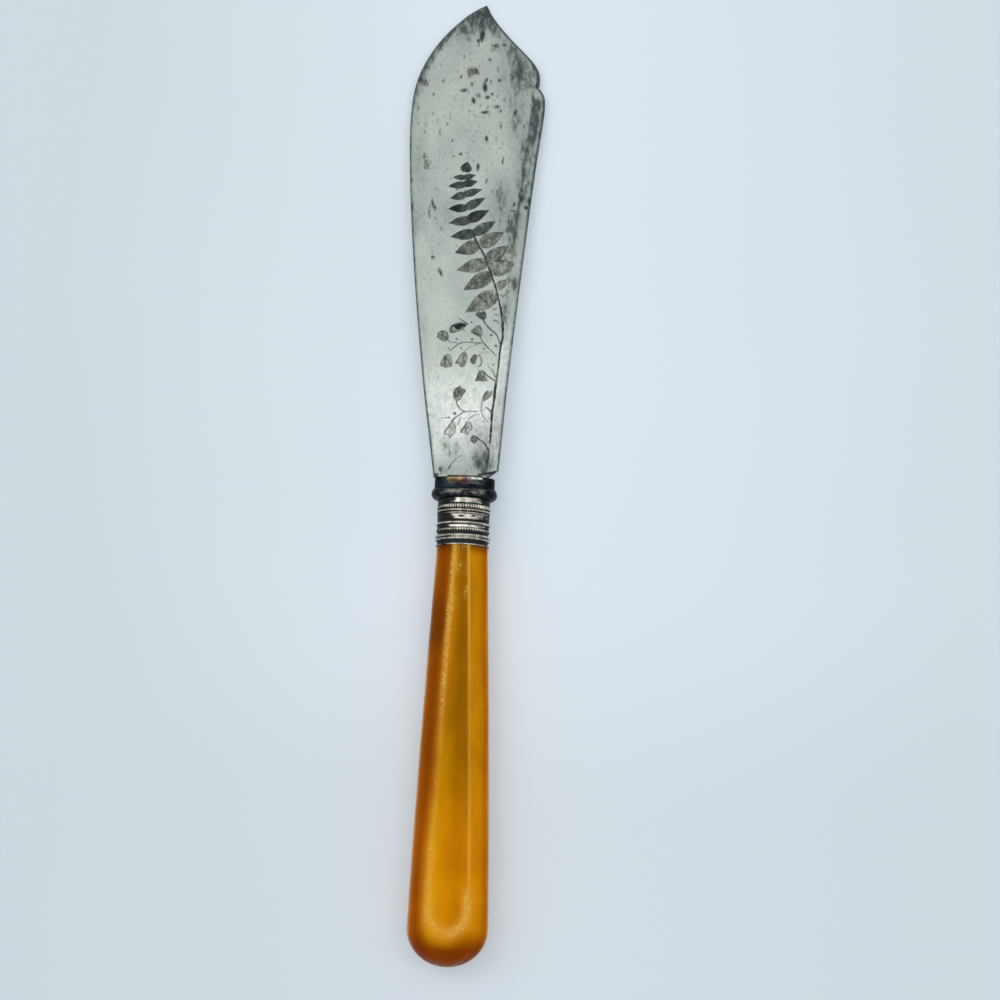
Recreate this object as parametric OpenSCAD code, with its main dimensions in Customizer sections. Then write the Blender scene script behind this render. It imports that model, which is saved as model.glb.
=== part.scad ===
// Table fish knife: a plated blade on a soldered bolster, a beaded ferrule and a canted handle.
// The knife lies on its back panel. The blade points along +Y and its engraved face looks up.

/* [Blade] */
// Length of the blade from its base to its point
blade_len = 113.1; // [100:0.2:125]
// Reach of the belly from the knife's axis
belly_w = 15.6; // [13:0.1:18]
// Reach of the notched back from the knife's axis
back_w = 14.8; // [13:0.1:17]
// Thickness of the blade at its base
blade_t = 1.8; // [1.5:0.05:2.4]
// Thickness of the blade at its point
point_t = 0.9; // [0.8:0.05:1.2]
// Thickness left on the ground edge
edge_t = 0.6; // [0.4:0.05:0.7]
// Width of the ground edge
grind_w = 0.7; // [0.4:0.05:1.2]
// Width of the bevelled strip along the back
strip_w = 2.5; // [1.6:0.1:3.2]
// Width of the tongue that enters the bolster
tongue_w = 7.6; // [6:0.1:8.4]
// Length of the tongue
tongue_len = 3.2; // [2.4:0.1:3.6]
// Thickness of the tongue
tongue_t = 1.4; // [1.1:0.05:1.45]

/* [Bolster] */
// Length of the neck in front of the flange
neck_len = 2.5; // [2:0.1:3.2]
// Width of the neck
neck_w = 13; // [11:0.1:13.4]
// Thickness of the neck
neck_t = 5.6; // [4.6:0.1:7]
// Length of the rolled flange along the knife
flange_len = 2.4; // [2:0.1:3.4]
// Stand of the flange beside the ferrule
flange_side = 1.65; // [1.2:0.05:2.2]
// Stand of the flange above and below the ferrule
flange_rise = 0.8; // [0.7:0.05:1.4]
// Length of the boss that centres the ferrule
boss_len = 0.8; // [0.5:0.1:1.2]
// Leg of the solder fillet at the neck
fillet_leg = 0.5; // [0.3:0.05:0.8]

/* [Ferrule] */
// Length of the ferrule
ferrule_len = 10.4; // [9:0.1:13]
// Width of its plain tube
ferrule_w = 10.9; // [10:0.1:12]
// Thickness of its plain tube
ferrule_t = 8.4; // [7.6:0.1:9.4]
// Wall of the tube
ferrule_wall = 0.4; // [0.3:0.05:0.6]
// Height of the widest rings over the tube
ring_h = 0.5; // [0.3:0.05:0.6]
// Spacing of the beads round the tube
bead_pitch = 0.76; // [0.7:0.02:1.1]

/* [Handle] */
// Length of the handle behind the ferrule
handle_len = 87.8; // [75:0.2:100]
// Greatest width of the handle, at the butt
butt_w = 16.8; // [14:0.1:19]
// Greatest thickness of the handle, at the butt
butt_t = 10.9; // [10.2:0.1:12.5]
// Length of the rounded butt
butt_round = 7.7; // [5:0.1:10]
// Width of the canted sides beside the flat front, seen from the front
side_w = 4; // [3.2:0.1:4.6]
// Swell of the taper towards the butt, where 1 is straight
swell = 1.25; // [1:0.05:1.5]

/* [Tang] */
// Radius of the tang where it leaves the bolster
tang_r = 1.9; // [1.5:0.05:2.2]
// Radius of the tang at its end
tang_end_r = 1.3; // [0.9:0.05:1.4]
// Length of the tang behind the bolster
tang_len = 56; // [40:1:65]
// Depth of the tang's socket in the bolster
socket_len = 2; // [1.4:0.1:2.2]
// Thickness of the cement between tang and bore
cement_gap = 0.6; // [0.4:0.05:0.9]
// Depth of the cement bed behind the boss and past the tang
cement_bed = 0.7; // [0.5:0.1:1.2]

/* [Fits] */
// Clearance round the tongue in its slot
slot_clear = 0.06; // [0.04:0.01:0.12]
// Clearance of what slides into the ferrule
ferrule_clear = 0.06; // [0.04:0.01:0.12]
// Joint between the blade's base and the neck
seam = 0.1; // [0.08:0.01:0.15]

/* [Hidden] */
$fn = 64;
// One overrun for every cut
over = 1;

// Heights and places along the knife, measured from the middle of its length
axis_z = ferrule_t / 2 + flange_rise;
axis_x = (belly_w - back_w) / 2;
edge_half = edge_t / 2;
point_half = point_t / 2;
// The blade dips until the underside of its point meets the table
dip = asin(axis_z / norm([blade_len, point_half])) - atan(point_half / blade_len);
total_len = handle_len + ferrule_len + flange_len + neck_len + blade_len * cos(dip) + edge_half * sin(dip);
shoulder_y = handle_len - total_len / 2;
seat_y = shoulder_y + ferrule_len;
roll_y = seat_y + flange_len;
base_y = roll_y + neck_len;

// The belly from base to point: shares of the blade's length, then of the belly's reach
belly_shares = [
    [0, 0.437], [0.09, 0.535], [0.18, 0.634], [0.36, 0.797], [0.54, 0.926], [0.66, 0.985],
    [0.73, 1], [0.785, 0.982], [0.82, 0.944], [0.85, 0.878], [0.88, 0.782], [0.91, 0.655],
    [0.94, 0.49], [0.965, 0.317], [0.98, 0.197], [0.993, 0.06], [1, -0.035]
];
// The back from base to notch, then from notch to point, in shares of the back's reach
back_shares = [
    [0.018, 0.487], [0.09, 0.523], [0.18, 0.569], [0.36, 0.685], [0.54, 0.81], [0.66, 0.902],
    [0.73, 0.966], [0.765, 0.995], [0.785, 1], [0.798, 0.99], [0.808, 0.963], [0.815, 0.928],
    [0.8205, 0.89]
];
lobe_shares = [
    [0.8205, 0.89], [0.826, 0.904], [0.838, 0.911], [0.848, 0.904], [0.858, 0.88], [0.87, 0.83],
    [0.88, 0.775], [0.895, 0.672], [0.91, 0.562], [0.925, 0.454], [0.94, 0.353], [0.955, 0.258],
    [0.97, 0.174], [0.985, 0.105], [0.994, 0.076], [1, 0.05]
];
// Where the chamfer of the base leaves the base, and its end along the blade
chamfer_share = 0.31;
chamfer_end = back_shares[0][0];
notch_share = back_shares[len(back_shares) - 1][0];
// Least width of the strip, beside the chamfer and the point
edge_w = 0.05;
// Rings of the blade worked out between two points of its outline
ring_steps = 3;

// Value of a table at a place t, on a smooth curve through its points
function slope(p, i) =
    let(a = p[max(i - 1, 0)], b = p[min(i + 1, len(p) - 1)]) (b[1] - a[1]) / (b[0] - a[0]);
function hermite(p, i, t) =
    let(h = p[i + 1][0] - p[i][0], u = (t - p[i][0]) / h)
    p[i][1] * (1 + 2 * u) * pow(1 - u, 2) + p[i + 1][1] * u * u * (3 - 2 * u)
    + h * slope(p, i) * u * pow(1 - u, 2) - h * slope(p, i + 1) * u * u * (1 - u);
function curve_at(p, t, i = 0) =
    i >= len(p) - 2 || t <= p[i + 1][0] ? hermite(p, i, t) : curve_at(p, t, i + 1);

// Reach of the belly, of the whole back and of the chamfered back at a share of the blade's length
function belly_x(t) = belly_w * curve_at(belly_shares, t);
function whole_x(t) =
    back_w * (t <= notch_share ? curve_at(back_shares, max(t, chamfer_end)) : curve_at(lobe_shares, t));
function back_x(t) =
    t < chamfer_end
        ? back_w * (chamfer_share + (back_shares[0][1] - chamfer_share) * t / chamfer_end)
        : whole_x(t);

// A ring of the blade, counted from the lower edge of its back
function blade_ring(t) =
    let(
        left = -belly_x(t),
        right = back_x(t),
        half = (blade_t + (point_t - blade_t) * t) / 2,
        grind = min(grind_w, (right - left) / 4),
        strip = t < notch_share ? strip_w : grind,
        border = min(whole_x(t) - strip, right - edge_w),
        rim = half + (edge_half - half) * (right - border) / strip,
        y = max(t * blade_len, seam)
    )
    [
        [right, y, -edge_half], [right, y, rim], [border, y, half], [left + grind, y, half],
        [left, y, edge_half], [left, y, -edge_half], [left + grind, y, -half], [right - grind, y, -half]
    ];

// Shares of the blade's length that carry a ring, from point to base
function between(p) =
    [for (i = [0:len(p) - 2]) for (j = [0:ring_steps - 1])
        p[i][0] + (p[i + 1][0] - p[i][0]) * j / ring_steps];
ring_places = concat([0], between(back_shares), between(lobe_shares), [1]);
blade_rings = [for (i = [len(ring_places) - 1:-1:0]) blade_ring(ring_places[i])];

// Points round the bolster and the handle
round_n = 48;

// An oval of half width a and half thickness b at place y and height z, with n points
function oval(a, b, y, n, z = 0) = [for (i = [0:n - 1]) [a * cos(360 * i / n), y, z + b * sin(360 * i / n)]];

// A skin through rings that follow each other, closed by two flat ends or back on itself
module loft(rings, tube = false) {
    n = len(rings[0]);
    k = len(rings);
    last = tube ? k - 1 : k - 2;
    sides = [for (j = [0:last]) for (i = [0:n - 1])
        let(
            a = j * n + i, b = j * n + (i + 1) % n,
            c = ((j + 1) % k) * n + (i + 1) % n, d = ((j + 1) % k) * n + i
        )
        each [[a, d, c], [a, c, b]]];
    ends = tube ? [] : [[for (i = [0:n - 1]) i], [for (i = [n - 1:-1:0]) (k - 1) * n + i]];
    polyhedron(points = [for (r = rings) each r], faces = concat(sides, ends), convexity = 6);
}

// Places what is drawn round the knife's axis, or round the dipping blade's own axis
module on_axis() translate([axis_x, 0, axis_z]) children();
module on_blade() translate([axis_x, base_y, axis_z]) rotate([-dip, 0, 0]) children();

// A round rod and an oval plate along the knife, from place y0 back to place y1
module rod(y0, y1, r) translate([0, y0, 0]) rotate([90, 0, 0]) cylinder(h = y0 - y1, r = r);
module plate(y0, y1, a, b) {
    translate([0, y0, 0]) rotate([90, 0, 0]) linear_extrude(y0 - y1)
        polygon([for (i = [0:round_n - 1]) [a * cos(360 * i / round_n), b * sin(360 * i / round_n)]]);
}

module tongue(clear) {
    translate([-tongue_w / 2 - clear, -tongue_len - clear, -tongue_t / 2 - clear])
        cube([tongue_w + 2 * clear, tongue_len + clear + over, tongue_t + 2 * clear]);
}

module blade() {
    color([0.70, 0.73, 0.70]) on_blade() union() {
        loft(blade_rings);
        tongue(0);
    }
}

// Points on half of the flange's roll
roll_n = 6;
tube_a = ferrule_w / 2;
tube_b = ferrule_t / 2;
bore_a = tube_a - ferrule_wall;
bore_b = tube_b - ferrule_wall;
inner_a = bore_a - ferrule_clear;
inner_b = bore_b - ferrule_clear;
flange_a = tube_a + flange_side;
flange_b = tube_b + flange_rise;
// Back of the boss, front of the handle's spigot, and the tang's bore in the handle
front_y = seat_y - boss_len;
spigot_y = front_y - cement_bed;
tang_end_y = front_y - tang_len;
bore_end_y = tang_end_y - cement_bed;
bore_r = tang_r + cement_gap;
// Edge round of the neck and of the tang's end
edge_round = 0.3;

// A half roll between an oval of a0, b0 and the flange's rim: the front half rises, the back half falls
function roll(a0, b0, y, front) =
    [for (i = [1:roll_n])
        let(w = front ? 90 * (1 - i / roll_n) : -90 * i / roll_n, a = flange_a - a0, b = flange_b - b0)
        oval(a0 + a * cos(w), b0 + b * cos(w), y + flange_len / 2 * sin(w), round_n)];

module bolster() {
    mid_y = roll_y - flange_len / 2;
    lip = ring_h / 2;
    rings = concat(
        [oval(neck_w / 2 - edge_round, neck_t / 2 - edge_round, base_y, round_n)],
        [oval(neck_w / 2, neck_t / 2, base_y - edge_round, round_n)],
        [oval(neck_w / 2, neck_t / 2, roll_y, round_n)],
        roll(neck_w / 2, neck_t / 2, mid_y, true),
        roll(tube_a + lip, tube_b + lip, mid_y, false)
    );
    color([0.42, 0.41, 0.38]) difference() {
        union() {
            on_axis() loft(rings);
            on_axis() plate(mid_y, front_y, inner_a, inner_b);
        }
        on_blade() tongue(slot_clear);
        on_axis() rod(front_y + socket_len, front_y - over, tang_r);
    }
}

// The hollow fillet, in the blade's own length and height
fillet_steps = 6;
module fillet_side() {
    half = blade_t / 2;
    arc = [for (i = [0:fillet_steps]) let(w = 90 * i / fillet_steps)
        [seam + fillet_leg * (1 - sin(w)), half + fillet_leg * (1 - cos(w))]];
    polygon(concat(arc, [[-over, half + fillet_leg], [-over, half]]));
}

module solder() {
    color([0.72, 0.52, 0.34]) difference() {
        on_blade() for (side = [0, 1]) mirror([0, 0, side])
            translate([-tongue_w / 2, 0, 0]) rotate([90, 0, 90]) linear_extrude(tongue_w) fillet_side();
        on_axis() translate([-neck_w / 2, base_y - neck_len, -neck_t]) cube([neck_w, neck_len, 2 * neck_t]);
    }
}

// The tang's outline, from its front end in the socket to its far end
module tang() {
    length = socket_len + tang_len;
    straight = socket_len + cement_bed;
    color([0.45, 0.44, 0.43]) on_axis() translate([0, front_y + socket_len, 0])
        rotate([90, 0, 0]) rotate_extrude()
            polygon([
                [0, 0], [tang_r, 0], [tang_r, straight], [tang_end_r, length - edge_round],
                [tang_end_r - edge_round, length], [0, length]
            ]);
}

// The ferrule from flange to handle: shares of its length, shares of the ring height, and 1 for a bead row
ferrule_shares = [
    [0, 0.15, 0], [0.03, 0.3, 0], [0.145, 0.3, 0], [0.165, 0.05, 0], [0.182, 0.05, 0],
    [0.213, 0.2, 1], [0.244, 0.05, 0], [0.275, 0.1, 0], [0.298, 0.55, 0], [0.322, 0.1, 0],
    [0.335, 0.35, 0], [0.357, 1, 0], [0.382, 0.3, 0], [0.45, 0.1, 0], [0.52, 0.25, 0],
    [0.543, 0.6, 0], [0.566, 0.25, 0], [0.64, 0.3, 0], [0.652, 0.15, 0], [0.683, 0.3, 1],
    [0.714, 0.15, 0], [0.742, 0, 0], [0.772, 0.6, 0], [0.795, 1, 0], [0.82, 0.35, 0],
    [0.862, 0.85, 0], [0.89, 0.25, 0], [0.935, 0.15, 0], [0.958, 0.5, 0], [0.98, 0.5, 0], [1, 0.2, 0]
];
// Height of a bead over its band, as a share of the bead pitch
bead_share = 0.42;
girth = PI * (3 * (tube_a + tube_b) - sqrt((3 * tube_a + tube_b) * (tube_a + 3 * tube_b)));
// Two points a bead: its crown and the valley beside it
ferrule_n = 2 * round(girth / bead_pitch);

function ferrule_ring(p) =
    [for (i = [0:ferrule_n - 1])
        let(
            w = 360 * i / ferrule_n,
            h = p[1] * ring_h + p[2] * (i % 2 == 0 ? bead_share * bead_pitch : 0)
        )
        [(tube_a + h) * cos(w), seat_y - p[0] * ferrule_len, (tube_b + h) * sin(w)]];

module ferrule() {
    outside = [for (p = ferrule_shares) ferrule_ring(p)];
    inside = [oval(bore_a, bore_b, shoulder_y, ferrule_n), oval(bore_a, bore_b, seat_y, ferrule_n)];
    color([0.78, 0.78, 0.76]) on_axis() loft(concat(outside, inside), tube = true);
}

// Slant of the canted sides
cant = 58;
// Sharpness of the ridges between the panels
ridge = 12;
// Share by which the section is swelled before its front and back are cut flat
flat_share = 1.03;
// Share of the handle's length over which the back panel comes down to the table
ramp_share = 0.25;
swell_steps = 20;
butt_steps = 9;
// Angle from the butt's pole at which its rings end
pole = 3;

// Distance from the middle to the skin of a canted section, in the direction w
function canted_r(a, b, w) =
    let(d = (a - side_w) * cos(cant) + b * sin(cant))
    pow(
        pow(abs(cos(w)) / a, ridge) + pow(abs(sin(w)) / b, ridge)
        + pow(abs(cos(w - cant)) / d, ridge) + pow(abs(cos(w + cant)) / d, ridge),
        -1 / ridge
    );

// A section of the handle at share t of its tapered length, shrunk by k and moved back by drop
function handle_ring(t, k, drop) =
    let(
        grow = 1 - pow(1 - t, swell),
        s = min(t / ramp_share, 1),
        low = (axis_z - tube_b) * (1 - s * s * (3 - 2 * s)),
        high = axis_z + tube_b + (butt_t - axis_z - tube_b) * grow,
        a = tube_a + (butt_w / 2 - tube_a) * grow,
        b = (high - low) / 2,
        y = shoulder_y - t * (handle_len - butt_round) - drop
    )
    [for (i = [0:round_n - 1])
        let(w = 360 * i / round_n, r = canted_r(a, b, w))
        [k * r * cos(w), y, (high + low) / 2 + k * max(-b, min(b, flat_share * r * sin(w)))]];

module handle() {
    rings = concat(
        [for (y = [spigot_y, shoulder_y]) oval(inner_a, inner_b, y, round_n, axis_z)],
        [for (i = [0:swell_steps]) handle_ring(i / swell_steps, 1, 0)],
        [for (i = [1:butt_steps]) let(w = 90 + (pole - 90) * i / butt_steps)
            handle_ring(1, sin(w), butt_round * cos(w))]
    );
    color([0.82, 0.52, 0.16]) difference() {
        translate([axis_x, 0, 0]) loft(rings);
        on_axis() rod(spigot_y + over, bore_end_y, bore_r);
    }
}

module cement() {
    color([0.30, 0.24, 0.18]) difference() {
        on_axis() union() {
            plate(front_y, spigot_y, inner_a, inner_b);
            rod((front_y + spigot_y) / 2, bore_end_y, bore_r);
        }
        tang();
    }
}

blade();
bolster();
solder();
tang();
ferrule();
handle();
cement();
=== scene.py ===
"""Fish knife: a plated, engraved blade, a dark rolled bolster, a beaded ferrule and a canted amber handle."""
import math
import bpy
import numpy as np
from mathutils import Matrix, Vector


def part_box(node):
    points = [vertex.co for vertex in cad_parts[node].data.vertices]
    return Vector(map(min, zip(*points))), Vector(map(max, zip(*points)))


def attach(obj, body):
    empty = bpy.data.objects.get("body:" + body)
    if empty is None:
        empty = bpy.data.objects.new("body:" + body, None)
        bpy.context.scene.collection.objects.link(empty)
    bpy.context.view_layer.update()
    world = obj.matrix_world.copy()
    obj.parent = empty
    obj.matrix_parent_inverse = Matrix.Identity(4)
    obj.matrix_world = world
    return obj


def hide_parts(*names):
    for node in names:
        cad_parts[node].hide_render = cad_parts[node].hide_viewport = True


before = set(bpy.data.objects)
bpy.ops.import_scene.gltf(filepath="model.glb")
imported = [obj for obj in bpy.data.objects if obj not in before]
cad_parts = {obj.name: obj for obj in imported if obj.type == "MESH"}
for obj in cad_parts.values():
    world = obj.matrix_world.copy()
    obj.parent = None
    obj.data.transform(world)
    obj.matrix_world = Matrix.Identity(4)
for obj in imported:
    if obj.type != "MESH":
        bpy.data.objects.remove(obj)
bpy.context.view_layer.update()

# Sizes are in millimetres, and one millimetre is this many metres. In the names below W is a width, T a
# thickness, H a height and R a radius, and A and B are half widths across and out
MM = 0.001


def cad_box(node):
    """Lowest and highest corner of a node of the frame, in millimetres."""
    low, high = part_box(node)
    return np.array(low) / MM, np.array(high) / MM


# Places along and across the knife, read from the frame
ferrule_low, ferrule_high = cad_box("ferrule")
bolster_low, bolster_high = cad_box("bolster")
handle_low, handle_high = cad_box("handle")
tang_low, tang_high = cad_box("tang")
axis_x, axis_z = (ferrule_low[0] + ferrule_high[0]) / 2, (ferrule_low[2] + ferrule_high[2]) / 2
shoulder_y, seat_y = ferrule_low[1], ferrule_high[1]
base_y, boss_y = bolster_high[1], bolster_low[1]
spigot_y, butt_y = handle_high[1], handle_low[1]
bore_end_y = cad_box("cement")[0][1]

# Blade
BLADE_LEN = 113.1
BELLY_W = 15.6
BACK_W = 14.8
BASE_T = 1.8
POINT_T = 0.9
EDGE_T = 0.6
GRIND_W = 0.7
STRIP_W = 2.5
TONGUE_W = 7.6
TONGUE_T = 1.4
TONGUE_LEN = 3.2
SEAM = 0.1
# Depth of a full cut of the engraving, hollow of a leaflet, and the pitch of the fine lines in it
CUT_DEPTH = 0.075
LEAF_HOLLOW = 0.02
HATCH_STEP = 0.42
# Left side of the window in which the blade's columns lie close together
WINDOW_LEFT = -6.8
# Bolster
NECK_LEN = 2.5
NECK_W = 13.0
NECK_T = 5.6
NECK_ROUND = 0.3
FLANGE_LEN = 2.4
SLOT_CLEAR = 0.06
# The roll's two grooves: depth, and place and half width as turns of the roll's half round
GROOVE_DEEP = 0.07
GROOVE_AT = 0.62
GROOVE_TURN = 0.07
# Ferrule
RING_H = 0.5
FERRULE_WALL = 0.4
FIT_CLEAR = 0.06
BEAD_COUNT = 60
BEAD_R = 0.27
BEAD_SUNK = 0.03
# Handle
SIDE_W = 4.0
BUTT_ROUND = 7.7
# The painted highlight arc round the panel's end: middle from the butt, half width, drop below its middle
ARC_PLACE = 11.4
ARC_HALF = 3.9
ARC_DROP = 4.6
# Powers of the swell towards the butt and of the ridges' rounding, and the cant of the sides
SWELL = 1.25
RIDGE = 12
CANT = math.radians(58)
FLAT_SHARE = 1.03
RAMP_SHARE = 0.25
POLISH_SHARE = 0.0025
BORE_R = 2.5
# The photograph's view: turn, height above the table, distance to the target, the target, sensor and lens
VIEW_TURN = math.radians(1.97)
VIEW_RISE = math.radians(77.6)
VIEW_AWAY = 433.2
VIEW_TARGET = (8.14, -9.4, 5.0)
VIEW_SENSOR = 36
VIEW_LENS = 72.18

tube_a = (ferrule_high[0] - ferrule_low[0]) / 2 - RING_H
tube_b = (ferrule_high[2] - ferrule_low[2]) / 2 - RING_H
bore_a, bore_b = tube_a - FERRULE_WALL, tube_b - FERRULE_WALL
inner_a, inner_b = bore_a - FIT_CLEAR, bore_b - FIT_CLEAR
tang_r = (tang_high[0] - tang_low[0]) / 2
roll_y = base_y - NECK_LEN
point_half = POINT_T / 2
dip = math.asin(axis_z / math.hypot(BLADE_LEN, point_half)) - math.atan(point_half / BLADE_LEN)

# The blade's outline: shares of its length, then of the reach on that side
BELLY = np.array([
    (0, 0.437), (0.09, 0.535), (0.18, 0.634), (0.36, 0.797), (0.54, 0.926), (0.66, 0.985), (0.73, 1),
    (0.785, 0.982), (0.82, 0.944), (0.85, 0.878), (0.88, 0.782), (0.91, 0.655), (0.94, 0.49),
    (0.965, 0.317), (0.98, 0.197), (0.993, 0.06), (1, -0.035)])
BACK = np.array([
    (0.018, 0.487), (0.09, 0.523), (0.18, 0.569), (0.36, 0.685), (0.54, 0.81), (0.66, 0.902),
    (0.73, 0.966), (0.765, 0.995), (0.785, 1), (0.798, 0.99), (0.808, 0.963), (0.815, 0.928),
    (0.8205, 0.89)])
LOBE = np.array([
    (0.8205, 0.89), (0.826, 0.904), (0.838, 0.911), (0.848, 0.904), (0.858, 0.88), (0.87, 0.83),
    (0.88, 0.775), (0.895, 0.672), (0.91, 0.562), (0.925, 0.454), (0.94, 0.353), (0.955, 0.258),
    (0.97, 0.174), (0.985, 0.105), (0.994, 0.076), (1, 0.05)])
CHAMFER_SHARE = 0.31
CHAMFER_END = BACK[0, 0]
NOTCH = BACK[-1, 0]
NOTCH_S = NOTCH * BLADE_LEN
# Share of the length over which the strip closes to the notch
STRIP_CLOSE = 0.016

# The engraved spray on the blade's front: places are millimetres across and along from the blade's base
STEM_TOP = [(-2.8, 71.0), (-2.7, 68.0), (-2.5, 64.2), (-1.5, 60.3), (-0.4, 57.0)]
STEM_TOP_WIDTHS = (0.12, 0.18)
STEM_TOP_OXIDE = 0.12
STEM = [
    (-0.5, 57.2), (-0.1, 56.0), (0.9, 54.0), (2.0, 52.2), (3.1, 49.5), (4.6, 45.5), (5.3, 43.4), (6.0, 40.7),
    (6.6, 38.0), (7.0, 35.0), (7.1, 32.3), (6.7, 30.3), (6.5, 28.0), (6.3, 24.6), (6.0, 22.2), (5.8, 20.1),
    (5.7, 18.1), (5.5, 16.2), (5.3, 14.4), (5.3, 12.1), (5.2, 9.8), (5.1, 8.0)]
# Widths of the stem's cut at its points
STEM_WIDTHS = [
    0.2, 0.36, 0.5, 0.46, 0.4, 0.38, 0.36, 0.36, 0.46, 0.56, 0.5, 0.42, 0.34, 0.32, 0.46, 0.58, 0.54, 0.4, 0.5,
    0.52, 0.42, 0.3]
STEM_OXIDE = 1.15
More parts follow.
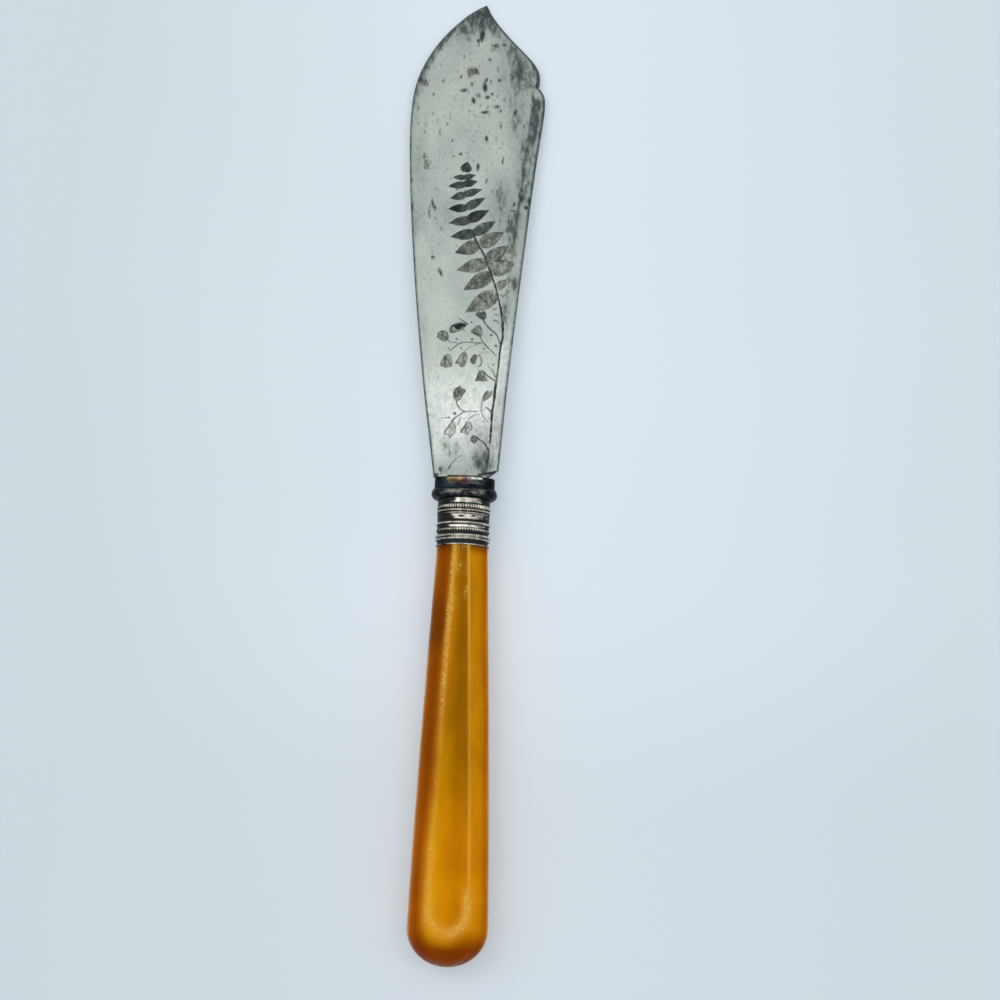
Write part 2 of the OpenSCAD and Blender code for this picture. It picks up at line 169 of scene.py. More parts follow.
# Other cuts: points, width at the start, width at the end, strength of the oxide in them
CUTS = [
    ([(-5.4, 2.3), (-5.3, 1.4), (-5.2, 0.7)], 0.22, 0.2, 0.5), ([(-6.8, 2.6), (-6.6, 1.3),
    (-6.2, 0.3)], 0.2, 0.3, 0.6),
    ([(0.9, 8.4), (1.3, 9.3), (1.7, 9.5), (2.5, 8.9), (3.5, 8.3), (4.2, 7.5), (4.8, 6.5), (5.0, 5.7),
      (4.9, 4.3), (4.6, 3.6)], 0.3, 0.46, 0.85),
    ([(1.0, 8.6), (1.5, 8.1), (1.9, 7.7)], 0.36, 0.2, 0.7), ([(0.1, 9.0), (0.4, 8.0), (0.9, 7.0)], 0.16, 0.12, 0.4),
    ([(-0.2, 4.9), (-1.0, 4.9), (-1.8, 4.5), (-2.5, 3.7), (-3.0, 3.1), (-3.4, 2.4)], 0.16, 0.3, 0.5),
    ([(-3.4, 2.4), (-3.6, 1.8)], 0.42, 0.2, 0.7),
    ([(2.9, 0.8), (4.2, 1.0), (5.3, 1.25), (6.5, 1.55)], 0.3, 0.7, 1.5),
    ([(2.1, 15.1), (0.7, 15.1), (-0.4, 15.0), (-1.2, 14.6), (-2.0, 14.0), (-2.9, 13.3), (-3.4, 12.7)],
     0.18, 0.32, 0.7),
    ([(-3.1, 19.3), (-3.0, 18.2), (-2.5, 17.2), (-2.2, 16.3), (-1.4, 15.4), (-0.7, 15.1)], 0.4, 0.24, 0.75),
    ([(-5.6, 13.4), (-4.9, 13.4), (-4.0, 13.5)], 0.14, 0.28, 0.5),
    ([(-1.5, 13.5), (-1.8, 12.7), (-2.0, 11.9)], 0.34, 0.24, 0.45),
    ([(2.3, 14.4), (1.6, 14.3), (0.9, 13.8), (0.3, 13.2)], 0.16, 0.28, 0.6),
    ([(4.1, 19.8), (3.5, 18.8), (3.1, 17.6), (3.0, 16.2), (3.1, 14.7), (3.8, 13.6), (4.4, 12.9)],
     0.3, 0.2, 0.6),
    ([(4.0, 16.1), (4.9, 15.4), (5.3, 14.6)], 0.24, 0.4, 0.85), ([(3.2, 12.9), (3.8, 12.7)], 0.26, 0.16, 0.55),
    ([(2.8, 31.0), (1.2, 30.9), (-0.2, 31.0), (-1.6, 30.9), (-2.7, 30.4), (-3.6, 29.6), (-4.5, 28.7)],
     0.26, 0.24, 0.6),
    ([(-4.9, 31.3), (-4.0, 30.8), (-3.3, 30.9), (-2.6, 30.5)], 0.24, 0.18, 0.6),
    ([(2.2, 30.8), (0.9, 30.3), (-0.1, 29.9), (-0.8, 29.2), (-1.4, 28.4)], 0.14, 0.22, 0.5),
    ([(4.2, 25.6), (5.1, 24.6), (5.8, 23.1)], 0.16, 0.34, 0.7),
    ([(2.1, 32.4), (2.8, 31.1), (3.8, 30.0), (4.9, 29.0), (5.8, 28.0)], 0.34, 0.22, 0.8),
    ([(2.7, 36.2), (3.6, 34.9), (4.5, 34.0), (5.5, 33.2), (6.1, 32.1), (6.6, 30.6)], 0.36, 0.22, 0.85),
    ([(-2.9, 36.6), (-1.8, 35.9), (-0.8, 35.2)], 0.2, 0.44, 0.75), ([(4.9, 37.9), (5.8, 37.4)], 0.16, 0.24, 0.7),
    ([(5.0, 36.3), (5.7, 36.1), (6.3, 35.4)], 0.34, 0.16, 0.75), ([(4.8, 38.8), (5.5, 39.2)], 0.4, 0.24, 0.75),
    ([(6.7, 39.4), (7.4, 39.8)], 0.24, 0.2, 0.6), ([(7.2, 37.8), (7.8, 38.4)], 0.3, 0.22, 0.6),
    ([(7.8, 37.4), (8.0, 36.7), (7.7, 36.0)], 0.18, 0.18, 0.4),
    ([(4.8, 46.6), (6.2, 47.0), (7.7, 47.8), (9.0, 49.5)], 0.2, 0.34, 0.5),
    ([(5.2, 44.7), (6.1, 45.4), (7.4, 46.0)], 0.3, 0.2, 0.5),
    ([(6.0, 42.5), (6.8, 42.0), (7.6, 42.7), (7.7, 43.5)], 0.2, 0.34, 0.65),
    ([(6.1, 43.4), (6.9, 44.1)], 0.26, 0.2, 0.45), ([(7.9, 43.2), (8.3, 43.1)], 0.34, 0.26, 0.6),
    ([(3.4, 50.3), (5.2, 50.5), (6.7, 52.2), (7.7, 54.0)], 0.2, 0.26, 0.6),
    ([(4.6, 54.6), (5.9, 56.1), (6.3, 57.1)], 0.16, 0.3, 0.6),
    # Folds and heavy sides of the flowers, from the pair at the left to the lowest ones
    ([(-5.2, 27.4), (-5.4, 26.3), (-5.3, 25.7)], 0.36, 0.26, 0.65), ([(-4.6, 27.0), (-4.5, 26.0)], 0.26, 0.26, 0.6),
    ([(-6.2, 25.7), (-5.7, 25.9), (-5.3, 25.5), (-4.8, 25.8), (-4.0, 25.7)], 0.18, 0.18, 0.5),
    ([(-4.4, 27.8), (-4.0, 26.8), (-3.9, 25.6)], 0.26, 0.32, 0.7),
    ([(-5.2, 27.9), (-5.9, 26.8), (-6.4, 25.6)], 0.22, 0.28, 0.65),
    ([(-1.6, 28.5), (-2.2, 27.6), (-3.0, 26.1)], 0.2, 0.28, 0.65),
    ([(-0.8, 28.2), (-0.6, 27.3), (-0.9, 26.5)], 0.24, 0.2, 0.6),
    ([(-1.3, 27.9), (-1.7, 26.7), (-1.9, 25.7)], 0.28, 0.26, 0.6),
    ([(-2.7, 26.0), (-2.1, 26.3), (-1.6, 25.9), (-1.1, 26.3)], 0.16, 0.16, 0.5),
    ([(2.2, 28.0), (2.6, 27.1), (2.6, 26.2), (2.2, 25.4)], 0.36, 0.28, 0.7),
    ([(0.4, 26.2), (1.0, 26.0), (1.5, 26.2)], 0.2, 0.2, 0.5), ([(1.0, 25.9), (1.4, 25.2),
    (1.9, 25.6)], 0.16, 0.16, 0.4),
    ([(1.9, 27.9), (2.3, 28.5), (3.0, 28.8), (3.7, 28.9), (4.3, 28.8)], 0.2, 0.14, 0.5),
    ([(1.6, 22.3), (2.0, 23.6), (2.5, 24.5), (3.0, 24.3)], 0.26, 0.34, 0.7),
    ([(1.5, 22.2), (2.6, 22.2), (4.0, 22.3)], 0.2, 0.2, 0.55), ([(2.5, 23.5), (2.9, 22.6)], 0.26, 0.26, 0.55),
    ([(3.2, 23.3), (3.6, 22.5)], 0.26, 0.26, 0.55), ([(3.0, 24.4), (3.9, 23.5), (4.9, 22.8),
    (5.8, 22.2)], 0.4, 0.28, 0.9),
    ([(-2.5, 20.3), (-2.2, 19.6), (-2.3, 18.4)], 0.34, 0.32, 0.7),
    ([(-1.8, 20.3), (-1.5, 19.8), (-1.6, 18.7)], 0.34, 0.32, 0.7), ([(-2.8, 19.6), (-2.6, 18.4)], 0.26, 0.26, 0.6),
    ([(-1.3, 20.1), (-0.7, 19.8), (-1.0, 19.3)], 0.36, 0.24, 0.8), ([(-2.2, 20.6), (-1.8, 20.8)], 0.3, 0.3, 0.6),
    ([(-3.2, 12.6), (-4.0, 11.5), (-4.8, 10.2)], 0.28, 0.4, 0.75), ([(-4.8, 10.0), (-4.5, 9.7)], 0.4, 0.3, 0.75),
    ([(-2.5, 12.1), (-2.4, 11.2), (-2.5, 10.2)], 0.34, 0.26, 0.3),
    ([(-0.2, 12.6), (-0.5, 11.5), (-1.1, 10.9), (-1.2, 10.3)], 0.28, 0.4, 0.75),
    ([(0.0, 11.4), (-0.3, 10.5), (-0.4, 10.1)], 0.32, 0.3, 0.6),
    ([(0.7, 12.5), (1.1, 11.6), (1.0, 11.0), (0.7, 10.8)], 0.28, 0.36, 0.7), ([(0.0, 10.6),
    (0.1, 9.8)], 0.24, 0.2, 0.6),
    ([(1.2, 37.6), (2.3, 36.7)], 0.3, 0.3, 0.6), ([(2.0, 37.9), (2.5, 36.7)], 0.26, 0.26, 0.65),
    ([(2.8, 38.0), (2.8, 36.7)], 0.26, 0.26, 0.65), ([(0.2, 33.5), (1.1, 32.9), (2.0, 32.4)], 0.36, 0.3, 0.8),
    ([(0.9, 34.2), (1.8, 32.7)], 0.24, 0.24, 0.6), ([(1.6, 34.8), (1.5, 34.1), (2.0, 32.8)], 0.26, 0.22, 0.6),
    ([(2.1, 34.4), (2.3, 33.0)], 0.24, 0.24, 0.6),
    ([(-7.3, 31.9), (-7.1, 32.9), (-6.2, 33.4), (-5.3, 33.1), (-4.9, 32.2)], 0.3, 0.3, 0.7),
    ([(-6.7, 32.3), (-6.1, 32.6), (-5.8, 32.3), (-6.1, 31.9)], 0.26, 0.22, 0.65),
    ([(-5.5, 32.7), (-5.4, 31.7)], 0.28, 0.28, 0.65),
    ([(-4.4, 34.4), (-3.5, 35.0), (-2.3, 35.3), (-1.3, 34.9)], 0.4, 0.5, 1.0),
    ([(-4.6, 33.9), (-4.4, 33.2), (-3.5, 33.4), (-3.1, 33.9)], 0.32, 0.24, 0.7),
    ([(-3.1, 33.4), (-2.4, 33.7), (-1.7, 34.3)], 0.18, 0.16, 0.4),
]
# Punched dots: across, along, radius
DOTS = [
    (-3.0, 31.7, 0.26), (0.4, 31.7, 0.3), (4.5, 32.8, 0.3), (-1.9, 29.6, 0.22), (3.1, 29.6, 0.24),
    (5.5, 30.4, 0.22), (5.8, 30.3, 0.2), (5.2, 26.0, 0.2), (-4.6, 29.4, 0.2), (-5.2, 29.2, 0.12),
    (-1.4, 33.6, 0.14), (0.1, 35.7, 0.2), (-0.4, 36.9, 0.14), (-2.8, 14.5, 0.34), (-4.0, 13.5, 0.24),
    (-2.9, 13.2, 0.24), (-2.0, 19.4, 0.24), (-1.5, 20.1, 0.2), (-3.6, 9.1, 0.2), (-3.1, 9.6, 0.17)]
DOT_OXIDE = 0.75
# The fern's leaflets: root, tip, width, tone at the root, tone at the tip, width of the outline
LEAVES = [
    ((-2.7, 71.5), (-2.2, 74.0), 2.5, 0.85, 0.8, 0.14),
    ((-2.6, 70.1), (-5.4, 70.1), 1.3, 0.8, 0.8, 0.1), ((-3.0, 70.0), (-0.3, 70.8), 1.4, 0.85, 0.8, 0.1),
    ((-2.6, 68.4), (-6.4, 67.9), 1.7, 0.85, 1.1, 0.1), ((-3.0, 68.4), (0.2, 69.3), 1.8, 0.9, 0.75, 0.1),
    ((-2.4, 66.0), (-5.8, 64.9), 1.9, 0.6, 0.8, 0.1), ((-2.8, 65.9), (1.3, 67.4), 1.8, 0.7, 0.8, 0.1),
    ((-1.9, 62.8), (-6.2, 62.4), 2.0, 0.66, 2.6, 0.1), ((-2.3, 62.7), (2.1, 65.4), 2.1, 0.68, 0.8, 0.12),
    ((-1.0, 59.9), (-5.9, 59.0), 2.2, 0.7, 0.85, 0.12), ((-1.8, 59.8), (3.0, 62.4), 2.5, 1.0, 0.82, 0.16),
    ((0.2, 56.8), (-5.4, 55.7), 2.5, 0.7, 0.85, 0.16), ((0.0, 56.7), (4.6, 59.8), 2.5, 0.66, 0.62, 0.16),
    ((0.9, 54.0), (-4.2, 51.9), 3.2, 0.4, 0.85, 0.14), ((1.4, 54.0), (6.3, 57.2), 3.2, 0.4, 0.48, 0.16),
    ((2.8, 49.8), (-3.6, 47.8), 3.1, 0.36, 0.44, 0.18), ((2.8, 50.0), (7.7, 54.2), 3.1, 0.4, 0.42, 0.16),
    ((3.9, 47.0), (-1.9, 43.2), 3.4, 0.5, 0.5, 0.18), ((3.9, 48.0), (9.2, 50.0), 3.7, 0.32, 0.26, 0.14),
    ((5.3, 42.5), (-1.3, 38.0), 3.9, 0.36, 0.42, 0.16), ((5.3, 44.0), (8.0, 46.0), 1.9, 0.14, 0.18, 0.1),
]
# Bell flowers and buds: outline, tone, width of the outline, strength of the oxide in it
FLOWERS = [
    ([(-5.0, 28.0), (-5.5, 27.6), (-6.0, 26.6), (-6.4, 25.5), (-6.0, 25.2), (-5.7, 25.3), (-5.2, 24.9), (-4.8, 25.2),
      (-4.3, 25.2), (-3.9, 25.4), (-3.9, 26.3), (-4.0, 27.1), (-4.4, 27.9)], 0.26, 0.2, 0.6),
    ([(-1.5, 28.5), (-2.1, 27.9), (-2.6, 26.9), (-3.1, 26.1), (-2.7, 25.9), (-2.4, 25.9), (-1.8, 25.2), (-1.3, 25.3),
      (-0.9, 26.1), (-0.7, 26.9), (-0.6, 27.8), (-1.0, 28.6)], 0.24, 0.18, 0.55),
    ([(0.5, 27.7), (0.2, 26.9), (0.4, 26.2), (0.9, 26.0), (1.3, 26.6), (1.6, 27.4), (1.5, 28.0), (1.0, 28.1)],
     0.5, 0.2, 0.55),
    ([(2.5, 24.5), (2.0, 23.7), (1.6, 22.6), (1.4, 22.1), (2.2, 22.2), (3.1, 22.1), (4.1, 22.3), (3.6, 23.1),
      (3.1, 24.0)], 0.26, 0.2, 0.55),
    ([(-2.5, 17.4), (-3.0, 18.2), (-3.2, 19.1), (-3.0, 20.0), (-2.5, 20.4), (-1.9, 20.7), (-1.5, 20.3), (-0.6, 19.8),
      (-1.0, 19.1), (-1.4, 18.3), (-1.9, 17.6)], 0.2, 0.22, 0.65),
    ([(3.2, 17.4), (3.2, 18.3), (3.6, 19.3), (4.2, 19.8), (4.8, 19.6), (5.2, 19.9), (5.2, 19.2), (4.8, 18.5),
      (4.2, 18.1), (3.8, 17.7)], 0.16, 0.2, 0.55),
    ([(-3.0, 12.7), (-3.8, 11.8), (-4.5, 10.7), (-4.9, 10.0), (-4.6, 9.7), (-4.0, 9.5), (-3.6, 8.9), (-3.1, 9.5),
      (-2.6, 10.1), (-2.4, 11.2), (-2.5, 12.2)], -0.1, 0.16, 0.4),
    ([(-0.1, 12.7), (-0.6, 11.7), (-1.2, 10.8), (-1.3, 10.3), (-0.6, 10.1), (0.1, 9.7), (0.5, 10.2), (0.8, 10.9),
      (1.1, 11.3), (0.8, 12.2), (0.5, 12.7)], -0.08, 0.16, 0.5),
    ([(0.9, 37.5), (1.4, 38.1), (2.1, 38.0), (2.8, 38.3), (3.2, 37.5), (3.0, 36.5), (2.4, 36.4), (1.5, 36.9)],
     0.45, 0.2, 0.6),
    ([(2.1, 32.4), (1.1, 32.8), (0.1, 33.5), (0.6, 34.1), (1.2, 34.8), (1.8, 35.0), (2.3, 34.3), (2.6, 33.5),
      (2.5, 32.7)], 0.3, 0.2, 0.65),
    ([(-7.3, 32.0), (-7.0, 32.9), (-6.2, 33.4), (-5.3, 33.1), (-5.0, 32.3), (-5.0, 31.5), (-5.7, 31.1), (-6.5, 31.4)],
     0.32, 0.22, 0.7),
    ([(-4.6, 33.9), (-4.2, 34.5), (-3.4, 35.0), (-2.3, 35.2), (-1.5, 35.1), (-1.2, 34.7), (-1.9, 34.3), (-2.4, 33.7),
      (-3.3, 33.4), (-4.2, 33.1)], 0.2, 0.24, 0.7),
    ([(-3.7, 34.6), (-3.1, 35.0), (-1.9, 35.2), (-1.4, 34.9), (-2.1, 34.5), (-2.6, 33.9), (-3.3, 34.1)],
     1.9, 0.1, 0.9),
    ([(1.1, 8.3), (1.3, 9.0), (1.9, 9.4), (2.2, 9.0), (2.2, 8.2), (1.6, 8.0)], 0.35, 0.2, 0.5),
]
# Spots of tarnish: across, along, width, length, lean of the top across, depth
SPOTS = [
    (0.1, 72.8, 0.7, 1.9, 0, 0.85), (-0.1, 105.5, 0.95, 2.5, 0.1, 1.15), (-0.9, 104.2, 0.8, 0.9, 0, 0.8),
    (-3.1, 104.5, 0.8, 1.7, 0, 0.5), (3.0, 103.2, 1.2, 1.1, 0.2, 0.6), (5.1, 103.3, 0.9, 0.8, 0, 0.72),
    (2.5, 101.8, 0.5, 1.4, 0.2, 0.6), (1.9, 99.4, 0.8, 0.8, 0, 0.75), (-2.8, 100.7, 0.6, 0.9, 0, 0.4),
    (-1.0, 96.5, 0.7, 1.1, 0, 0.95), (-2.1, 96.7, 0.7, 1.4, 0, 0.6), (-2.9, 95.7, 0.8, 1.0, 0.2, 0.5),
    (-4.5, 94.9, 0.5, 1.0, 0.2, 0.8), (-5.2, 94.2, 0.7, 0.8, 0, 0.45), (-8.5, 93.8, 0.5, 1.6, -0.2, 0.62),
    (-2.0, 93.1, 0.6, 1.2, 0, 0.8), (1.3, 94.3, 0.5, 1.2, 0.2, 0.85), (1.0, 92.6, 0.9, 2.2, -0.1, 0.95),
    (4.2, 94.4, 0.7, 0.9, 0, 0.8), (-3.8, 91.6, 1.7, 0.9, 0.4, 0.8), (2.7, 90.9, 0.7, 0.7, 0, 0.75),
    (1.7, 90.0, 1.1, 0.9, 0, 0.85), (-0.2, 90.3, 0.6, 1.5, 0, 0.6), (-1.5, 89.1, 0.8, 1.5, -0.1, 0.95),
    (0.0, 87.9, 0.5, 0.9, 0, 0.55), (1.3, 86.3, 1.7, 0.8, 0.4, 0.82), (1.8, 87.6, 0.6, 1.1, 0, 0.6),
    (3.9, 87.8, 1.6, 0.9, 0.5, 0.7), (4.8, 86.7, 0.6, 1.2, 0, 0.65), (8.1, 86.4, 0.7, 1.7, 0.2, 0.8),
    (7.6, 84.7, 0.4, 1.2, 0.1, 0.55), (4.9, 82.8, 0.5, 1.3, 0, 0.75), (4.9, 83.9, 0.4, 0.6, 0, 0.5),
    (1.8, 79.8, 0.6, 1.2, 0, 1.0), (2.1, 81.8, 0.3, 1.3, 0.2, 0.35), (-9.7, 83.7, 0.5, 1.6, -0.1, 0.62),
    (-5.9, 79.1, 0.5, 0.7, 0, 0.6), (-4.4, 80.1, 0.4, 1.1, 0, 0.45), (-10.5, 78.6, 0.5, 0.5, 0, 0.42),
    (-5.5, 75.2, 0.7, 0.6, 0, 0.6), (-3.9, 75.8, 0.7, 0.7, 0, 0.85), (-2.5, 76.1, 0.7, 0.7, 0, 0.45),
    (-7.4, 75.9, 0.4, 0.7, 0, 0.45), (4.8, 77.5, 0.7, 0.7, 0, 0.45), (-12.2, 82.7, 0.5, 1.3, 0, 0.4),
    (-10.6, 90.4, 0.6, 0.8, 0, 0.65), (5.7, 74.5, 0.5, 1.9, 0.1, 0.7), (2.2, 69.6, 0.7, 1.5, 0.2, 0.6),
    (4.7, 66.9, 0.7, 1.1, 0, 0.55), (5.9, 66.6, 0.6, 2.0, 0.1, 0.38), (8.6, 64.0, 0.7, 1.1, 0.2, 0.75),
    (-7.7, 64.5, 0.4, 1.2, 0, 0.6), (-9.5, 63.2, 0.6, 2.8, -0.25, 0.98), (-10.2, 61.5, 0.4, 1.4, -0.2, 0.6),
    (-9.4, 52.0, 0.5, 1.3, 0, 0.6), (-9.1, 50.7, 0.7, 1.0, -0.2, 0.85), (-7.3, 47.2, 0.8, 1.9, -0.35, 0.8),
    (-14.3, 62.6, 0.7, 2.4, 0, 0.8), (-14.0, 56.1, 0.5, 0.9, 0, 0.7), (-12.7, 44.5, 0.5, 1.0, 0, 0.7),
    (12.0, 64.9, 0.9, 1.6, 0, 0.9), (11.3, 63.4, 0.9, 1.0, 0, 0.85), (10.2, 65.3, 0.9, 2.2, 0.1, 0.8),
    (12.7, 93.3, 0.6, 1.2, 0, 0.85), (-13.7, 93.8, 1.2, 1.6, 0, 0.85), (8.5, 62.4, 1.8, 0.4, 0.2, 0.7),
    (8.8, 61.2, 0.4, 1.6, 0, 0.66), (7.6, 61.6, 0.5, 0.9, 0, 0.5), (7.4, 59.9, 0.4, 1.2, 0, 0.62),
    (8.1, 59.7, 0.4, 1.5, 0.2, 0.55), (7.2, 57.6, 0.6, 1.2, 0.3, 0.6), (6.6, 56.0, 0.7, 0.8, 0, 0.5),
    (5.8, 62.4, 0.4, 0.9, 0, 0.5), (-14.7, 68.9, 0.5, 1.4, 0, 0.6), (-5.5, 1.8, 0.5, 0.9, 0, 0.85),
    (-6.2, 0.4, 1.0, 0.8, 0, 0.9), (-3.1, 5.6, 0.9, 0.4, 0, 0.3), (-4.3, 5.4, 0.4, 1.2, 0, 0.36)]
# Brown stains: across, along, width, length
STAINS = [
    (-2.0, 96.2, 2.2, 2.2), (-11.6, 73.3, 1.4, 3.0), (-12.2, 75.2, 0.9, 2.0), (3.2, 102.8, 1.6, 1.8),
    (1.5, 46.3, 1.8, 1.2), (-12.8, 93.2, 2.0, 2.6), (-1.8, 33.9, 1.0, 0.7)]
# Violet-grey bloom: across, along, radius across, radius along, strength
BLOOMS = [
    (-13.2, 59.4, 1.5, 3.2, 0.75), (-6.0, 60.8, 1.6, 2.6, 0.6), (6.6, 61.0, 3.2, 6.5, 0.6),
    (6.4, 11.0, 2.2, 2.6, 0.5), (3.6, 8.4, 2.8, 3.4, 0.95), (1.2, 3.6, 4.4, 3.2, 0.5),
    (6.9, 17.3, 0.7, 2.6, 0.4), (8.4, 96.8, 2.6, 5.0, 0.35), (0.2, 58.0, 1.8, 1.0, 0.5),
    (4.3, 3.2, 2.4, 2.4, 0.45)]
# Clouds of tarnish: across, along, radius across, radius along, strength
CLOUDS = [
    (0.5, 113.2, 3.6, 4.4, 1.6), (-1.4, 108.6, 3.2, 2.6, 0.66), (-4.6, 107.2, 1.9, 2.2, 0.66),
    (3.2, 107.6, 1.7, 2.4, 0.7), (4.9, 104.6, 1.6, 3.0, 0.5), (7.2, 101.6, 1.7, 3.6, 0.56),
    (8.8, 96.6, 2.4, 5.8, 0.74), (10.6, 93.4, 1.6, 2.4, 0.6), (8.7, 85.0, 1.7, 5.0, 0.5),
    (5.6, 95.6, 1.6, 4.0, 0.36), (7.0, 89.4, 1.3, 3.0, 0.34), (11.6, 95.6, 1.6, 2.8, 0.6),
    (10.5, 77.4, 1.4, 7.5, 0.6), (9.9, 68.4, 1.3, 5.6, 0.56), (8.1, 58.6, 1.6, 5.6, 0.56),
    (9.2, 45.0, 1.0, 2.6, 0.6), (7.4, 50.4, 1.4, 3.0, 0.4), (8.3, 52.6, 1.1, 1.3, 0.7),
    (7.5, 38.6, 0.9, 4.6, 0.5), (5.6, 63.6, 2.6, 6.0, 0.44), (3.9, 3.4, 1.7, 2.4, 1.0),
    (2.7, 5.0, 1.6, 1.2, 0.62), (-4.4, 1.6, 2.4, 1.6, 0.4), (-4.6, 7.4, 1.6, 1.6, 0.5),
    (-3.2, 5.4, 1.3, 1.0, 0.5), (6.0, 0.3, 1.5, 0.9, 0.62), (2.0, 1.6, 3.6, 1.4, 0.36),
    (-14.0, 58.0, 1.3, 7.0, 0.36), (-13.4, 74.0, 1.3, 9.0, 0.36), (-4.6, 109.3, 1.6, 2.4, 0.5),
    (-2.6, 6.2, 2.2, 2.2, 0.4), (-8.0, 8.0, 2.0, 6.0, 0.34), (-10.6, 34.6, 1.0, 1.6, 0.36)]
# Wide worn stretches with bold specks, as the spots are given
WORN = [(2.4, 95, 22, 34, 0, 2), (-9, 78, 9, 50, 0, 1.2), (8.0, 66, 8, 38, 0, 1.8)]
# The ferrule's bands from flange to handle: shares of its length, then of the ring height
BANDS = np.array([
    (0, 0.15), (0.02, 0.3), (0.112, 0.3), (0.122, 0.04), (0.133, 0.12), (0.225, 0.12), (0.236, 0.03),
    (0.3, 0.02), (0.345, 0.1), (0.36, 0.26), (0.455, 0.3), (0.47, 0.02), (0.49, 0.02), (0.505, 0.1),
    (0.568, 0.02), (0.58, 0.24), (0.622, 0.24), (0.635, 0.15), (0.7, 0.14), (0.712, 0), (0.76, 0), (0.83, 0.25),
    (0.893, 0), (0.955, 0), (0.965, 0.12), (1, 0.2)])
# Half-round rings: middle and half width as shares of the length, height as a share of the ring height
RINGS = [(0.266, 0.022, 0.7), (0.326, 0.014, 0.5), (0.53, 0.025, 0.75), (0.795, 0.028, 1), (0.862, 0.028, 0.88),
         (0.982, 0.017, 0.52)]
# Bead rows: middle and half length as shares of the length; the first row's beads are long, as reeding
BEAD_ROWS = ((0.178, 0.05), (0.668, 0.032))
# Dark spots on the broad band: side to side from -1 to 1, share of the length, half width, half height
BAND_SPOTS = [
    (-0.07, 0.405, 0.11, 0.022), (0.4, 0.39, 0.09, 0.018), (0.06, 0.478, 0.18, 0.014),
    (-0.55, 0.41, 0.12, 0.05)]


def curve_at(table, t):
    """Cubic curve through a table's points, whose slope at a point is that between its two neighbours."""
    x, y = table[:, 0], table[:, 1]
    i = np.arange(len(x))
    before, after = np.maximum(i - 1, 0), np.minimum(i + 1, len(x) - 1)
    slope = (y[after] - y[before]) / (x[after] - x[before])
    k = np.clip(np.searchsorted(x, t) - 1, 0, len(x) - 2)
    h = x[k + 1] - x[k]
    u = (t - x[k]) / h
    ends = y[k] * (1 + 2 * u) * (1 - u) ** 2 + y[k + 1] * u ** 2 * (3 - 2 * u)
    return ends + h * u * (1 - u) * (slope[k] * (1 - u) - slope[k + 1] * u)


def smooth_step(low, high, x):
    """0 at low and past it, 1 at high and past it, and a smooth cubic between; low may be the larger."""
    u = np.clip((x - low) / (high - low), 0, 1)
    return u * u * (3 - 2 * u)


def span(start, end, count, first=0):
    """Evenly spaced values from start to end, both columns, as the columns numbered first to count."""
    return start + (end - start) * np.arange(first, count + 1) / count


def turn_once(n):
    """The angles of n points once round."""
    return np.linspace(0, 2 * np.pi, n, endpoint=False)


def around(a, b, y, n):
    """An oval ring of n points at place y: half width a, half thickness b."""
    w = turn_once(n)
    return np.stack([axis_x + a * np.cos(w), np.full(n, y), axis_z + b * np.sin(w)], axis=-1)


def on_blade(x, s, z):
    """Places in the blade's own frame, across, along and out of its middle plane, as places of the knife."""
    along = math.cos(dip) * s + math.sin(dip) * z
    out = math.cos(dip) * z - math.sin(dip) * s
    return np.stack([axis_x + x, base_y + along, axis_z + out], axis=-1)


def grid_faces(rows, columns, close_rows):
    """Four-sided faces between the rings of a grid whose columns run round, closed back on themselves."""
    index = np.arange(rows * columns).reshape(rows, columns)
    lower = index if close_rows else index[:-1]
    upper = np.roll(index, -1, axis=0) if close_rows else index[1:]
    return np.stack([lower, np.roll(lower, -1, axis=1), np.roll(upper, -1, axis=1), upper], axis=-1).reshape(-1, 4)


def skin_faces(points, rows, columns, tube):
    """The skin's four-sided faces and its flat ends, turned outwards by the sign of the volume they enclose."""
    sides = grid_faces(rows, columns, tube)
    ends = [] if tube else [np.arange(columns)[::-1], np.arange(columns) + (rows - 1) * columns]
    corners = points[sides]
    halves = np.cross(corners[:, 1], corners[:, 2]) + np.cross(corners[:, 2], corners[:, 3])
    if (corners[:, 0] * halves).sum() < 0:
        return sides[:, ::-1], [end[::-1] for end in ends]
    return sides, ends


def piece(name, rings, material, fields, sharp, tube=False):
    """A closed skin through rings of points in millimetres, which stands for the node of its name.

    The rings are an array of rows by columns by three. Two flat ends close the skin, or it closes back
    on itself as a tube. The fields are one number a point, for the material. Edges that turn by more
    than sharp degrees stay sharp.
    """
    points = rings.reshape(-1, 3) * MM
    sides, ends = skin_faces(points, *rings.shape[:2], tube)
    loops = np.concatenate([sides.ravel(), *ends]).astype(np.int32)
    sizes = np.array([4] * len(sides) + [len(end) for end in ends])
    mesh = bpy.data.meshes.new(name)
    mesh.vertices.add(len(points))
    mesh.vertices.foreach_set("co", points.astype(np.float32).ravel())
    mesh.loops.add(len(loops))
    mesh.loops.foreach_set("vertex_index", loops)
    mesh.polygons.add(len(sizes))
    mesh.polygons.foreach_set("loop_start", np.concatenate([[0], np.cumsum(sizes)[:-1]]).astype(np.int32))
    mesh.update(calc_edges=True)
    mesh.validate()
    for field, values in fields.items():
        layer = mesh.attributes.new(field, "FLOAT", "POINT")
        layer.data.foreach_set("value", np.ascontiguousarray(values, dtype=np.float32).ravel())
    mesh.shade_smooth()
    mesh.set_sharp_from_angle(angle=math.radians(sharp))
    mesh.materials.append(material)
    thing = bpy.data.objects.new("shown_" + name, mesh)
    bpy.context.scene.collection.objects.link(thing)
    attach(thing, "root")
    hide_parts(name)
    return thing


def led_on(fields, rings):
    """Fields whose first row also serves that many rings set before it."""
    return {name: np.concatenate([np.repeat(value[:1], rings, axis=0), value]) for name, value in fields.items()}


